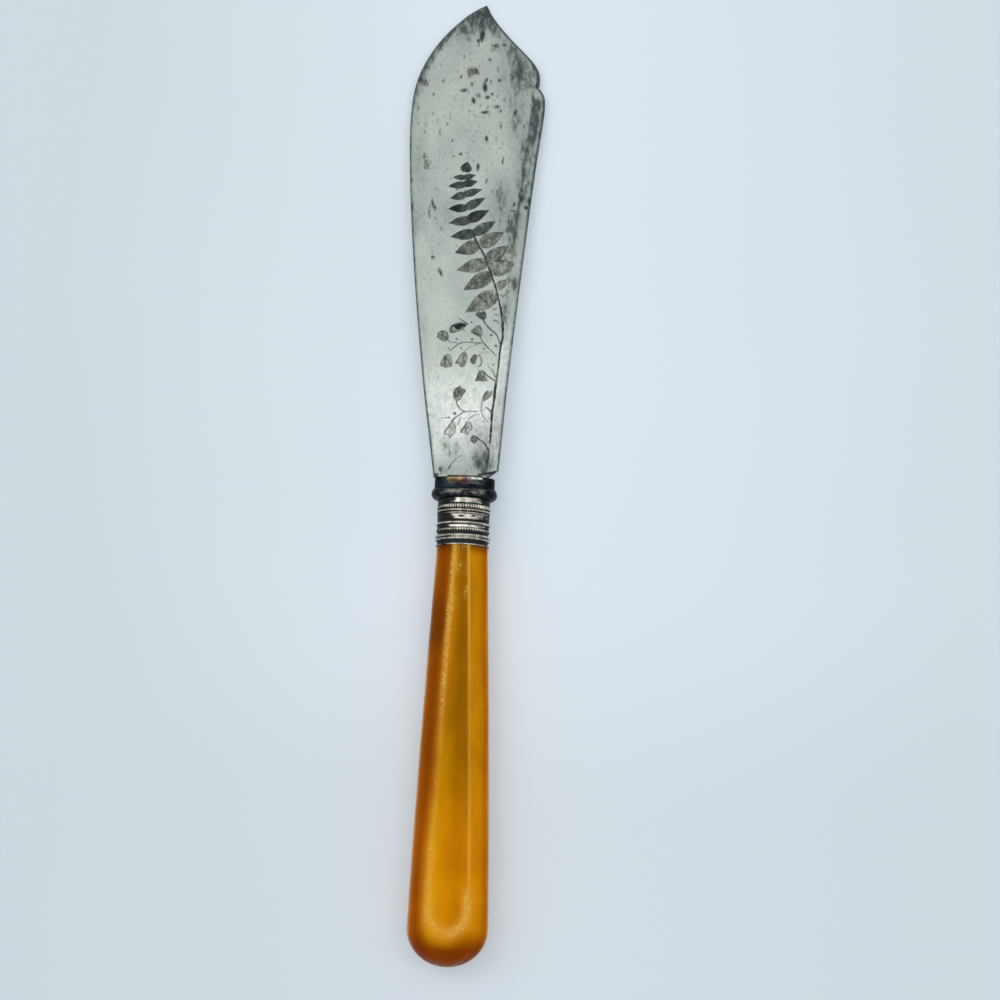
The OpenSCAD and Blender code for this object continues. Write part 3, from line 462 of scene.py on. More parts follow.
def rgb(red, green, blue):
    """A colour given as a screen shows it, 0 to 255, as linear light with full alpha."""
    screen = np.array([red, green, blue]) / 255
    linear = np.where(screen <= 0.04045, screen / 12.92, ((screen + 0.055) / 1.055) ** 2.4)
    return (*linear.tolist(), 1.0)


class Nodes:
    """A node tree with short calls: each adds a node, feeds its inputs and gives back one output."""

    def __init__(self, tree):
        self.tree = tree

    def put(self, kind, inputs, out=0, **settings):
        node = self.tree.nodes.new("ShaderNode" + kind)
        for name, value in settings.items():
            setattr(node, name, value)
        for key, value in inputs.items():
            if isinstance(value, bpy.types.NodeSocket):
                self.tree.links.new(value, node.inputs[key])
            else:
                node.inputs[key].default_value = value
        return node.outputs[out]

    def math(self, operation, a, b=0.0, clamp=False):
        return self.put("Math", {0: a, 1: b}, operation=operation, use_clamp=clamp)

    def plus(self, a, b):
        return self.math("ADD", a, b)

    def minus(self, a, b, clamp=False):
        return self.math("SUBTRACT", a, b, clamp)

    def times(self, a, b, clamp=False):
        return self.math("MULTIPLY", a, b, clamp)

    def largest(self, first, *others):
        for other in others:
            first = self.math("MAXIMUM", first, other)
        return first

    def ramp(self, value, low, high, to_low=0.0, to_high=1.0):
        """Smooth step from low to high, clamped."""
        inputs = {"Value": value, "From Min": low, "From Max": high, "To Min": to_low, "To Max": to_high}
        return self.put("MapRange", inputs, interpolation_type="SMOOTHSTEP")

    def spread(self, value, low, high, to_low=0.0, to_high=1.0):
        """Straight line from low to high, clamped."""
        inputs = {"Value": value, "From Min": low, "From Max": high, "To Min": to_low, "To Max": to_high}
        return self.put("MapRange", inputs)

    def mix(self, factor, a, b, blend="MIX"):
        return self.put("Mix", {0: factor, 6: a, 7: b}, 2, data_type="RGBA", blend_type=blend)

    def stops(self, value, colours):
        """Colour that runs through the given ones, each at its place from 0 to 1."""
        node = self.tree.nodes.new("ShaderNodeValToRGB")
        self.tree.links.new(value, node.inputs[0])
        stops = node.color_ramp.elements
        for stop, (place, colour) in ((stops[0], colours[0]), (stops[1], colours[-1])):
            stop.position, stop.color = place, rgb(*colour)
        for place, colour in colours[1:-1]:
            stops.new(place).color = rgb(*colour)
        return node.outputs[0]

    def field(self, name):
        """One of the piece's own fields."""
        return self.put("Attribute", {}, "Fac", attribute_name=name)

    def at(self):
        """Object coordinates."""
        return self.put("TexCoord", {}, "Object")

    def axis(self, name, place=None):
        """One of the three coordinates of a place, or of the Object coordinates."""
        return self.put("SeparateXYZ", {0: self.at() if place is None else place}, name)

    def stretched(self, along):
        """Object coordinates, scaled along the knife by a socket's value."""
        scale = self.put("CombineXYZ", {0: 1.0, 1: along, 2: 1.0})
        return self.put("VectorMath", {0: self.at(), 1: scale}, operation="MULTIPLY")

    def noise(self, place, scale, detail=3.0, distortion=0.0):
        inputs = {"Vector": place, "Scale": scale, "Detail": detail, "Distortion": distortion}
        return self.put("TexNoise", inputs)

    def laid(self, along=1.0, lean=0.0):
        """Object coordinates, leant in the table's plane and scaled along the knife."""
        return self.put("Mapping", {"Vector": self.at(), "Scale": (1.0, along, 1.0), "Rotation": (0.0, 0.0, lean)})

    def grain(self, scale, detail=3.0, along=1.0):
        """Noise on Object coordinates, drawn out along the knife where along is below 1."""
        return self.noise(self.laid(along), scale, detail)

    def swing(self, scale, detail=3.0, along=1.0):
        """The same noise, about zero."""
        return self.minus(self.grain(scale, detail, along), 0.5)


def shader_group(name, inputs, output, kind):
    """An empty shader group with named sockets and one output; gives back its tree, nodes, inputs and finish."""
    tree = bpy.data.node_groups.new(name, "ShaderNodeTree")
    kinds = {"colour": "NodeSocketColor", "value": "NodeSocketFloat"}
    for socket, (socket_kind, value) in inputs.items():
        tree.interface.new_socket(socket, in_out="INPUT", socket_type=kinds[socket_kind]).default_value = value
    tree.interface.new_socket(output, in_out="OUTPUT", socket_type=kinds[kind])
    given, taken = tree.nodes.new("NodeGroupInput").outputs, tree.nodes.new("NodeGroupOutput").inputs

    def finish(value):
        """Links the group's result and gives back the group."""
        tree.links.new(value, taken[output])
        return tree

    return Nodes(tree), given, finish


def make_scratches():
    """Fine hairlines: two sets of long thin noise laid at a slant to each other."""
    n, given, finish = shader_group(
        "fine_scratches", {"Scale": ("value", 700.0), "Reach": ("value", 0.62)}, "Mask", "value")
    sets = [n.noise(n.laid(0.05, lean), given["Scale"], 4.0) for lean in (0.16, -0.42)]
    return finish(n.ramp(n.largest(*sets), given["Reach"], 0.78))


def make_tarnish():
    """Broken tarnish: noise that passes a level which falls as Amount rises."""
    n, given, finish = shader_group(
        "broken_tarnish", {"Amount": ("value", 0.3), "Scale": ("value", 400.0), "Stretch": ("value", 0.5),
                           "Softness": ("value", 0.08)}, "Mask", "value")
    grain = n.noise(n.stretched(given["Stretch"]), given["Scale"], 6.0, 0.3)
    level = n.spread(given["Amount"], 0.0, 1.0, 0.74, 0.3)
    return finish(n.spread(n.minus(grain, level), 0.0, given["Softness"]))


def make_mottle():
    """Cloudy colour: two colours mixed by wide noise."""
    n, given, finish = shader_group(
        "cloudy_colour", {"Light": ("colour", (1, 1, 1, 1)), "Dark": ("colour", (0, 0, 0, 1)),
                          "Scale": ("value", 100.0), "Contrast": ("value", 0.2)}, "Colour", "colour")
    wide = n.noise(n.laid(0.6), given["Scale"], 3.0, 0.5)
    value = n.spread(wide, n.minus(0.5, given["Contrast"]), n.plus(0.5, given["Contrast"]))
    return finish(n.mix(value, given["Dark"], given["Light"]))


def make_specks():
    """Ragged specks: the middles of some cells of a stretched cell pattern, each of its own size."""
    n, given, finish = shader_group(
        "ragged_specks", {"Scale": ("value", 900.0), "Stretch": ("value", 0.5), "Size": ("value", 0.3),
                          "Share": ("value", 0.3)}, "Mask", "value")
    scaled = n.put("VectorMath", {0: n.stretched(given["Stretch"]), "Scale": given["Scale"]}, operation="SCALE")
    shift = n.put("TexNoise", {"Vector": scaled, "Scale": 2.2, "Detail": 3.0}, "Color")
    ragged = n.put("VectorMath", {0: shift, 1: (0.9, 0.9, 0.9), 2: scaled}, operation="MULTIPLY_ADD")
    distance = n.put("TexVoronoi", {"Vector": ragged, "Scale": 1.0}, "Distance", voronoi_dimensions="2D")
    draw = distance.node.outputs["Color"]
    chance, size = (n.put("SeparateColor", {0: draw}, channel) for channel in ("Red", "Green"))
    kept = n.math("LESS_THAN", chance, given["Share"])
    reach = n.times(given["Size"], n.plus(0.35, n.times(size, 0.65)))
    return finish(n.times(n.spread(n.minus(reach, distance), 0.0, 0.12), kept))


SCRATCHES = make_scratches()
TARNISH = make_tarnish()
SPECKS = make_specks()
MOTTLE = make_mottle()


def hairlines(n, scale, reach):
    """Fine scratches, as a mask."""
    return n.put("Group", {"Scale": scale, "Reach": reach}, node_tree=SCRATCHES)


def broken(n, amount, scale, stretch, softness):
    """Broken tarnish, as a mask."""
    inputs = {"Amount": amount, "Scale": scale, "Stretch": stretch, "Softness": softness}
    return n.put("Group", inputs, node_tree=TARNISH)


def specks(n, scale, size, share):
    """Ragged specks, as a mask."""
    return n.put("Group", {"Scale": scale, "Stretch": 0.5, "Size": size, "Share": share}, node_tree=SPECKS)


def cloudy(n, light, dark, scale, contrast=0.2):
    """Colour that wanders between a light one and a dark one."""
    inputs = {"Light": rgb(*light), "Dark": rgb(*dark), "Scale": scale, "Contrast": contrast}
    return n.put("Group", inputs, node_tree=MOTTLE)


def new_material(name, **uniform):
    """A material with a Principled shader, whose own sockets take the given values, and its nodes."""
    material = bpy.data.materials.new(name)
    material.use_nodes = True
    shader = material.node_tree.nodes["Principled BSDF"]
    for key, value in uniform.items():
        shader.inputs[key.replace("_", " ")].default_value = value
    return material, Nodes(material.node_tree)


def wire(material, colour, roughness, height, bump_distance, metallic=None):
    """Links what varies to the material's shader, the height through a bump, and gives the material back."""
    tree = material.node_tree
    shader = tree.nodes["Principled BSDF"]
    tree.links.new(colour, shader.inputs["Base Color"])
    tree.links.new(roughness, shader.inputs["Roughness"])
    if metallic is not None:
        tree.links.new(metallic, shader.inputs["Metallic"])
    bump = Nodes(tree).put("Bump", {"Distance": bump_distance, "Height": height})
    tree.links.new(bump, shader.inputs["Normal"])
    return material


def bright_plate(n, ragged, blotch):
    """Cloudy pale metal, streaked with a painted reflection near the root and on the strip, with its bevel dulled;
    and the bevel's mask.
    """
    metal = cloudy(n, (185, 192, 183), (167, 176, 169), 130.0, 0.16)
    # Painted reflection: the shine field, broken by blotches and fine streaks, brightens the metal towards near white
    shine = n.times(n.field("shine"), n.ramp(blotch, -0.16, 0.1, 0.62, 1.08), True)
    shine = n.times(shine, n.ramp(n.grain(1900.0, 2.0, 0.12), 0.36, 0.62, 0.76, 1.14), True)
    metal = n.mix(n.times(shine, 0.72), metal, rgb(240, 242, 236))
    metal = n.mix(n.ramp(ragged, 0.62, 0.36, 0.0, 0.24), metal, rgb(140, 150, 146))
    bevel = n.times(n.ramp(n.field("rim"), 0.9, 0.3), n.ramp(ragged, 0.3, 0.6, 0.4, 0.85))
    return n.mix(bevel, metal, rgb(150, 160, 156)), bevel


def tarnished_plate(n, metal, rough, blotch):
    """Bloom, tarnish, specks and spots laid over the metal; and how dark and how deep they are."""
    # Violet-grey bloom, then the dulling under the clouds of tarnish and its broken patches
    bloom = n.times(n.field("bloom"), n.ramp(blotch, -0.12, 0.1, 0.35, 1.0), True)
    metal = n.mix(n.times(bloom, 0.75), metal, rgb(142, 141, 146))
    grime = n.field("grime")
    metal = n.mix(n.times(grime, 0.62, True), metal, rgb(114, 124, 115))
    patch = broken(n, grime, 1150.0, 0.4, 0.24)
    weight = n.plus(n.times(grime, 0.8), n.times(rough, 1.1))
    patch_colour = n.stops(weight, [
        (0.1, (136, 142, 134)), (0.42, (104, 113, 107)), (0.66, (72, 84, 82)), (0.95, (48, 60, 66))])
    metal = n.mix(n.times(patch, 0.9), metal, patch_colour)
    # Specks of two sizes all over, more where the metal is cloudy
    wear = n.field("wear")
    share = n.times(n.ramp(n.grain(90.0, 2.0, 0.7), 0.35, 0.7, 0.12, 0.5), n.plus(wear, 0.16))
    fine = specks(n, 1500.0, 0.36, share)
    bold = specks(n, 620.0, 0.24, n.ramp(wear, 0.0, 1.0, 0.0, 0.26))
    metal = n.mix(n.times(fine, 0.4), metal, rgb(92, 100, 94))
    metal = n.mix(n.times(bold, 0.5), metal, rgb(84, 92, 84))
    spot = n.ramp(n.plus(n.field("spot"), n.times(rough, 0.75)), 0.16, 0.72, 0.0, 0.94)
    metal = n.mix(spot, metal, rgb(36, 46, 40))
    dark = n.largest(spot, n.times(patch, n.ramp(weight, 0.1, 0.9, 0.2, 0.9)), n.times(bold, 0.4))
    return metal, dark, n.plus(n.times(spot, 0.3), n.times(n.largest(patch, bold), 0.15))


def engraved_plate(n, metal, ragged, rough, blotch):
    """Leaflets, flowers, stains and oxide laid over the metal; and how dark and how deep they are."""
    # Leaflets and flowers: tone broken by blotches and fine cut lines
    inside = n.ramp(n.plus(n.field("leaf"), n.times(rough, 0.2)), 0.1, -0.1)
    hatch = n.math("SINE", n.times(n.field("hatch"), 2 * math.pi / HATCH_STEP))
    tone = n.plus(n.plus(n.field("tone"), n.times(blotch, 1.3)), n.times(rough, 0.9))
    shade = n.spread(n.minus(tone, n.times(hatch, 0.06)), -0.36, 1.24)
    leaf_colour = n.stops(shade, [
        (0.0, (200, 205, 198)), (0.22, (166, 170, 162)), (0.4, (128, 131, 121)), (0.58, (84, 92, 86)),
        (0.76, (46, 57, 53)), (1.0, (8, 14, 12))])
    metal = n.mix(inside, metal, leaf_colour)
    # Brown stains
    stain = n.plus(n.field("stain"), n.plus(n.times(rough, 1.8), blotch))
    metal = n.mix(n.ramp(stain, 0.36, 0.9, 0.0, 0.8), metal, rgb(94, 85, 78))
    # Oxide in the cuts, and a dark line along the ground edge
    cut = n.ramp(n.plus(n.field("cut"), n.times(rough, 0.16)), 0.09, -0.06)
    ink = n.times(n.field("ink"), n.ramp(blotch, -0.16, 0.06, 0.6, 1.0))
    oxide = n.times(cut, n.times(ink, n.ramp(ragged, 0.32, 0.52, 0.75, 1.0), True))
    metal = n.mix(oxide, metal, rgb(30, 38, 36))
    edge = n.plus(n.field("rim"), n.plus(n.times(rough, 0.5), n.times(blotch, 0.8)))
    edge = n.ramp(edge, 0.44, 0.08)
    metal = n.mix(n.times(edge, 0.88), metal, rgb(64, 76, 78))
    dark = n.largest(oxide, n.times(inside, n.ramp(shade, 0.1, 0.9, 0.1, 0.9)), n.times(edge, 0.7))
    return metal, dark, n.times(n.times(inside, hatch), 0.12)


def blade_material():
    """Worn silver plate: cloudy pale metal, hairlines, broken tarnish, and oxide in the engraved cuts."""
    material, n = new_material("worn_plate", Specular_IOR_Level=0.5)
    ragged = n.grain(2600.0, 3.0, 0.45)
    rough, blotch = n.minus(ragged, 0.5), n.swing(900.0, 3.0, 0.8)
    metal, bevel = bright_plate(n, ragged, blotch)
    metal, grimy, pitted = tarnished_plate(n, metal, rough, blotch)
    metal, oxide, hatched = engraved_plate(n, metal, ragged, rough, blotch)
    dark = n.largest(grimy, oxide)
    scratches = hairlines(n, 900.0, 0.6)
    roughness = n.plus(n.plus(0.34, n.times(n.largest(dark, bevel), 0.3)), n.times(scratches, 0.08))
    metallic = n.minus(1.0, n.times(dark, 0.8), True)
    relief = n.minus(n.times(scratches, -0.12), n.plus(pitted, hatched))
    relief = n.plus(relief, n.times(blotch, 0.5))
    return wire(material, metal, roughness, relief, 0.06 * MM, metallic)


def bolster_material():
    """Oxidised plate, with rubbed wear and a painted grey highlight on the roll's crown, and worn to brass and copper
    on the neck.
    """
    material, n = new_material("oxidised_plate", Metallic=1.0)
    oxide = cloudy(n, (44, 54, 60), (10, 14, 18), 500.0)
    # The roll's crown: rubbed wear with a painted grey highlight, broken in patches
    worn = broken(n, n.field("rub_and_sheen"), 800.0, 1.6, 0.24)
    crown = n.ramp(n.grain(500.0, 3.0, 1.6), 0.4, 0.7)
    rubbed = n.mix(worn, oxide, n.mix(crown, rgb(98, 97, 90), rgb(150, 148, 138)))
    # The neck: brass, then copper, then bare silver from left to right, each painted paler where it meets the blade
    # as a highlight and darker below it as shade
    wander = n.times(n.swing(600.0), 1.6 * MM)
    across = n.plus(n.axis("X"), wander)
    top = n.ramp(n.plus(n.axis("Y"), n.times(wander, 0.6)), (base_y - 0.9) * MM, (base_y - 0.4) * MM)
    brass = n.mix(top, rgb(74, 70, 48), rgb(146, 132, 90))
    copper = n.mix(top, rgb(96, 58, 44), rgb(176, 146, 124))
    bare = n.mix(top, rgb(76, 79, 78), rgb(240, 240, 234))
    plated = n.mix(n.ramp(across, -1.7 * MM, -0.3 * MM), brass, copper)
    plated = n.mix(n.ramp(across, 0.7 * MM, 1.9 * MM), plated, bare)
    neck = broken(n, n.field("neck"), 900.0, 1.3, 0.3)
    bright = n.largest(worn, neck)
    height = n.plus(n.times(bright, 0.4), n.grain(1100.0))
    return wire(material, n.mix(neck, rubbed, plated), n.ramp(bright, 0.0, 1.0, 0.46, 0.36), height, 0.08 * MM)


def ferrule_material():
    """Polished silver with black oxide in the grooves, and painted shade, partly oxide, down the sides."""
    material, n = new_material("oxidised_silver")
    oxide = n.field("oxide")
    silver = cloudy(n, (232, 227, 212), (164, 159, 149), 900.0, 0.16)
    silver = n.mix(n.ramp(oxide, 0.08, 0.5, 0.0, 0.48), silver, rgb(112, 110, 106))
    dents = n.grain(1300.0)
    level = n.plus(oxide, n.times(n.minus(dents, 0.5), 1.1))
    mask = n.ramp(n.plus(level, n.times(n.swing(520.0, 2.0, 1.6), 0.8)), 0.3, 0.66)
    colour = n.mix(n.times(mask, 0.96), silver, rgb(22, 25, 28))
    scratches = hairlines(n, 1500.0, 0.58)
    roughness = n.plus(n.ramp(mask, 0.0, 1.0, 0.3, 0.5), n.times(scratches, 0.1))
    height = n.minus(n.times(dents, 1.6), n.times(scratches, 0.2))
    return wire(material, colour, roughness, height, 0.05 * MM, n.ramp(mask, 0.0, 1.0, 1.0, 0.88))


def amber_colour(n, along, across, drift):
    """The handle's colour with light painted in: one run of colours across near the ferrule, a paler one near the
    butt.
    """
    place = n.spread(across, -2.0, 2.0)
    # Across from left to right: a painted highlight on the edge, painted shade on the left side, a painted highlight
    # by the left ridge, the panel, a lighter right ridge, a painted glow on the right facet, and a painted highlight
    # on the edge
    front = n.stops(place, [
        (0.0, (228, 158, 66)), (0.04, (164, 86, 4)), (0.12, (150, 70, 0)), (0.22, (166, 86, 2)),
        (0.28, (204, 134, 8)), (0.4, (182, 120, 2)), (0.55, (156, 98, 0)), (0.68, (158, 100, 2)),
        (0.735, (180, 116, 2)), (0.8, (222, 150, 6)), (0.89, (214, 140, 4)), (0.95, (196, 114, 4)),
        (0.975, (206, 126, 6)), (1.0, (228, 158, 62))])
    behind = n.stops(place, [
        (0.0, (232, 162, 70)), (0.04, (180, 94, 4)), (0.12, (164, 78, 0)), (0.19, (196, 112, 2)),
        (0.28, (232, 161, 9)), (0.45, (223, 143, 0)), (0.62, (210, 130, 0)), (0.735, (220, 140, 2)),
        (0.8, (236, 152, 4)), (0.89, (226, 142, 4)), (0.95, (202, 114, 4)), (0.975, (208, 124, 6)),
        (1.0, (228, 158, 62))])
    colour = n.mix(n.ramp(n.plus(along, n.times(drift, 0.3)), 0.5, 0.76), front, behind)
    # Deeper brown in the shade of the ferrule and on a stretch of the left side
    under = n.ramp(along, 0.032, 0.0, 0.0, 0.8)
    deep = n.times(n.ramp(along, 0.1, 0.2), n.ramp(along, 0.32, 0.24))
    deep = n.times(deep, n.ramp(across, -1.05, -1.35, 0.0, 0.6))
    colour = n.mix(n.largest(under, deep), colour, rgb(106, 46, 4))
    streaks = n.times(n.ramp(n.grain(1500.0, 2.0, 0.04), 0.4, 0.68, 0.0, 0.14), n.ramp(along, 0.75, 0.4, 0.2, 1.0))
    colour = n.mix(streaks, colour, rgb(146, 84, 2))
    colour = n.mix(1.0, colour, cloudy(n, (255, 255, 255), (236, 226, 210), 170.0), "MULTIPLY")
    return n.mix(n.times(n.field("butt"), 0.92), colour, rgb(126, 42, 0))


def handle_material():
    """Polished amber with light painted in: painted shade on the left sides, olive and gold in front, a painted glow
    on the right facet, and painted highlights with pale flecks of crazing on the ridges.

    The field across counts from -2 at the left edge over -1 and 1 at the two front ridges to 2 at the right.
    """
    material, n = new_material(
        "amber_horn", Subsurface_Weight=0.06, Subsurface_Radius=(0.003, 0.001, 0.0002), Subsurface_Scale=1.0,
        IOR=1.5, Specular_IOR_Level=0.3, Specular_Tint=(1.0, 0.6, 0.04, 1.0))
    along, crazed_highlight = n.field("along"), n.field("crazed_highlight")
    drift = n.swing(240.0, 2.0, 0.22)
    colour = amber_colour(n, along, n.plus(n.field("across"), n.times(drift, 0.3)), drift)
    # The painted highlights on the ridges and round the panel's end, and over them the crazing: flecks and the edges
    # of fine cells, its flecks painted pale as part of the highlight
    colour = n.mix(n.times(n.field("sheen"), 0.85), colour, rgb(244, 180, 72))
    flecks = n.grain(2700.0, 5.0, 0.8)
    patchy = n.plus(crazed_highlight, n.times(n.swing(420.0, 2.0, 0.6), 1.6))
    strength = n.times(n.ramp(patchy, 0.3, 0.7), n.ramp(crazed_highlight, 0.0, 0.5))
    crazing = n.times(n.ramp(flecks, 0.4, 0.68), strength, True)
    colour = n.mix(n.times(crazing, 0.66), colour, rgb(244, 192, 94))
    cells = n.put("TexVoronoi", {"Vector": n.laid(0.8), "Scale": 1700.0}, "Distance", feature="DISTANCE_TO_EDGE")
    cracks = n.times(n.ramp(cells, 0.05, 0.0), strength)
    height = n.minus(n.times(flecks, strength), n.times(cracks, 0.5))
    return wire(material, colour, n.plus(0.22, n.times(crazing, 0.25)), height, 0.05 * MM)


def plain_metal(name, light, dark, roughness, scale):
    """A metal with cloudy colour, broken dull patches and a grain, for the pieces that hardly show."""
    material, n = new_material(name, Metallic=1.0)
    patch = broken(n, 0.35, scale * 2.5, 0.6, 0.1)
    colour = n.mix(n.times(patch, 0.6), cloudy(n, light, dark, scale), rgb(46, 42, 40))
    dulled = n.ramp(patch, 0.0, 1.0, roughness, roughness + 0.25)
    return wire(material, colour, dulled, n.grain(scale * 6, 4.0), 0.08 * MM)


def cement_material():
    """Set resin: brown, dull and grainy, with pale grit."""
    material, n = new_material("set_resin")
    resin = cloudy(n, (120, 92, 68), (72, 52, 38), 420.0)
    grit = broken(n, 0.2, 1900.0, 1.0, 0.06)
    grain = n.grain(2400.0, 5.0)
    colour = n.mix(grit, resin, rgb(176, 156, 132))
    return wire(material, colour, n.ramp(grain, 0.3, 0.7, 0.6, 0.85), grain, 0.15 * MM)


def centre_line(points, widths, step=0.07):
    """Points along the smooth curve through the given ones, by chord length, with half widths."""
    places = np.array(points, dtype=float)
    chord = np.concatenate([[0], np.cumsum(np.hypot(*np.diff(places, axis=0).T))])
    at = np.linspace(0, chord[-1], max(3, int(chord[-1] / step)))
    widths = np.interp(at, chord if len(widths) == len(chord) else [0, chord[-1]], widths)
    x, s = (curve_at(np.stack([chord, places[:, i]], axis=-1), at) for i in (0, 1))
    return np.stack([x, s, widths / 2], axis=-1)


def close_to(x, s, points, reach):
    """Which places lie within reach of the box round the points."""
    low, high = points[:, :2].min(0) - reach, points[:, :2].max(0) + reach
    return (x > low[0]) & (x < high[0]) & (s > low[1]) & (s < high[1])


def nearest_cut(x, s):
    """Distance in millimetres from each place to the nearest cut's edge, less than zero inside a cut, and
    the strength of the oxide in that cut. A long cut is measured in short runs, each near its own places."""
    reach, run = 0.6, 24
    cut, ink = np.full(x.shape, reach), np.ones(x.shape)
    lines = [(centre_line(STEM, STEM_WIDTHS), STEM_OXIDE), (centre_line(STEM_TOP, STEM_TOP_WIDTHS), STEM_TOP_OXIDE)]
    lines += [(centre_line(points, (start, end)), strength) for points, start, end, strength in CUTS]
    lines += [(np.array([dot]), DOT_OXIDE) for dot in DOTS]
    for line, strength in lines:
        for start in range(0, len(line), run):
            part = line[start:start + run + 1]
            near = close_to(x, s, part, reach)
            if near.any():
                gap = (np.hypot(x[near][:, None] - part[:, 0], s[near][:, None] - part[:, 1]) - part[:, 2]).min(1)
                ink[near] = np.where(gap < cut[near], strength, ink[near])
                cut[near] = np.minimum(cut[near], gap)
    return cut, ink


def lay_leaflets(x, s, found):
    """Lays the fern's leaflets over what is found so far: edge distance, tone, hatch place and outline.

    A leaflet is a midrib from root to tip. Its half width follows the sine of a power of the place
    along it, which puts the bulge nearer the root, and the distance is that from the half width. Its
    hatching runs at a slant to the midrib.
    """
    for root, tip, width, tone_root, tone_tip, line in LEAVES:
        root, tip = np.array(root), np.array(tip)
        length = np.hypot(*(tip - root))
        way = (tip - root) / length
        along = ((x - root[0]) * way[0] + (s - root[1]) * way[1]) / length
        across = np.abs((s - root[1]) * way[0] - (x - root[0]) * way[1])
        t = np.clip(along, 0, 1)
        half = width / 2 * np.sin(np.pi * (0.12 + 0.88 * t) ** 0.8)
        beyond = length * np.abs(along - t)
        edge = np.where(beyond > 0, np.hypot(np.maximum(across - half, 0), beyond), across - half)
        mine = edge < found["leaf"]
        found["leaf"] = np.where(mine, edge, found["leaf"])
        found["tone"] = np.where(mine, tone_root + (tone_tip - tone_root) * t ** 2, found["tone"])
        found["hatch"] = np.where(mine, along * length * 0.8 + across * 0.6, found["hatch"])
        found["outline"] = np.minimum(found["outline"], np.abs(edge) - line / 2)


def lay_flowers(x, s, found, reach, cover=0.3):
    """Lays the flowers over the leaflets, with the strength of the oxide in their outlines.

    A flower is a closed smooth outline: a place lies inside where a line across it meets the outline an
    odd number of times. Its tone and hatching reach a little past its edge, up to the cover.
    """
    for points, shade, line, strength in FLOWERS:
        edge = centre_line(points + points[:1], (line, line))
        near = close_to(x, s, edge, reach)
        at_x, at_s = x[near], s[near]
        (x0, s0), (x1, s1) = edge[:-1, :2].T, edge[1:, :2].T
        rise = np.where(s1 == s0, 1e-9, s1 - s0)
        u, v = at_x[:, None], at_s[:, None]
        meets = ((s0 > v) != (s1 > v)) & (u < x0 + (v - s0) / rise * (x1 - x0))
        gap = np.hypot(u - edge[:, 0], v - edge[:, 1]).min(1)
        signed = np.where(meets.sum(1) % 2 == 1, -gap, gap)
        leaf, outline, ring = found["leaf"][near], found["outline"][near], gap - line / 2
        mine = (signed < 0) | (signed < np.minimum(leaf, cover))
        found["leaf"][near] = np.where(mine, np.minimum(signed, leaf), leaf)
        found["tone"][near] = np.where(mine, shade, found["tone"][near])
        found["hatch"][near] = np.where(mine, at_x * 0.6 + at_s * 0.5, found["hatch"][near])
        found["oxide"][near] = np.where(ring < outline, strength, found["oxide"][near])
        found["outline"][near] = np.minimum(outline, ring)


def engraving(x, along, border, front):
    """The engraving's fields, and the depth in millimetres by which it presses the face in.

    The depth follows the distance from the cuts' edges, more where the oxide is strong, with a shallow
    hollow in each leaflet.
    """
    reach = 1.0
    found = {name: np.full(x.shape, value) for name, value in (
        ("leaf", reach), ("tone", 0.0), ("hatch", 0.0), ("outline", reach), ("oxide", 0.5))}
    lay_leaflets(x, along, found)
    lay_flowers(x, along, found, reach)
    cut, ink = nearest_cut(x, along)
    ink = np.where(found["outline"] < cut, found["oxide"], ink)
    cut = np.minimum(cut, found["outline"])
    # A faint midrib where the fern's upper leaflets meet
    rib_x, rib_s = np.array(STEM_TOP[::-1]).T
    midrib = np.interp(along, [60, 68], [-0.1, -0.02]) - np.abs(x - np.interp(along, rib_s, rib_x))
    leaf = np.maximum(found["leaf"], np.where(along > rib_s[0], midrib, -1))
    # A faint line cut beside the strip and round the notch
    line = np.where((along > 36) & (along < NOTCH_S), np.abs(x - border) - 0.08, 1)
    ink = np.where(line < cut, np.interp(along, [36, 56, 70, 88, 91], [0.1, 0.3, 0.5, 0.5, 0.2]), ink)
    cut = np.minimum(cut, line)
    cut[:, ~front], leaf[:, ~front] = 1, 1
    depth = CUT_DEPTH * smooth_step(0.05, -0.16, cut) * (0.4 + 0.6 * np.minimum(ink, 1))
    depth = depth + LEAF_HOLLOW * smooth_step(0.02, -0.25, leaf)
    return {"cut": cut, "ink": ink, "leaf": leaf, "tone": found["tone"], "hatch": found["hatch"]}, depth


def blobs(x, s, table):
    """The strongest of a table of soft leaning ovals: 1 at the middle, 0.5 at the rim, 0 at twice the rim."""
    value = np.zeros(x.shape)
    for across, along, width, length, lean, depth in table:
        u = (x - across - lean * (s - along)) / (width / 2)
        v = (s - along) / (length / 2)
        value = np.maximum(value, depth * np.clip(1 - np.hypot(u, v) / 2, 0, 1))
    return value


def clouds(x, s, table, strength):
    """The strongest of a table of clouds, each given by the radius at which it has faded away."""
    return blobs(x, s, [(a, b, 2 * c, 2 * d, 0, strength * e) for a, b, c, d, e in table])


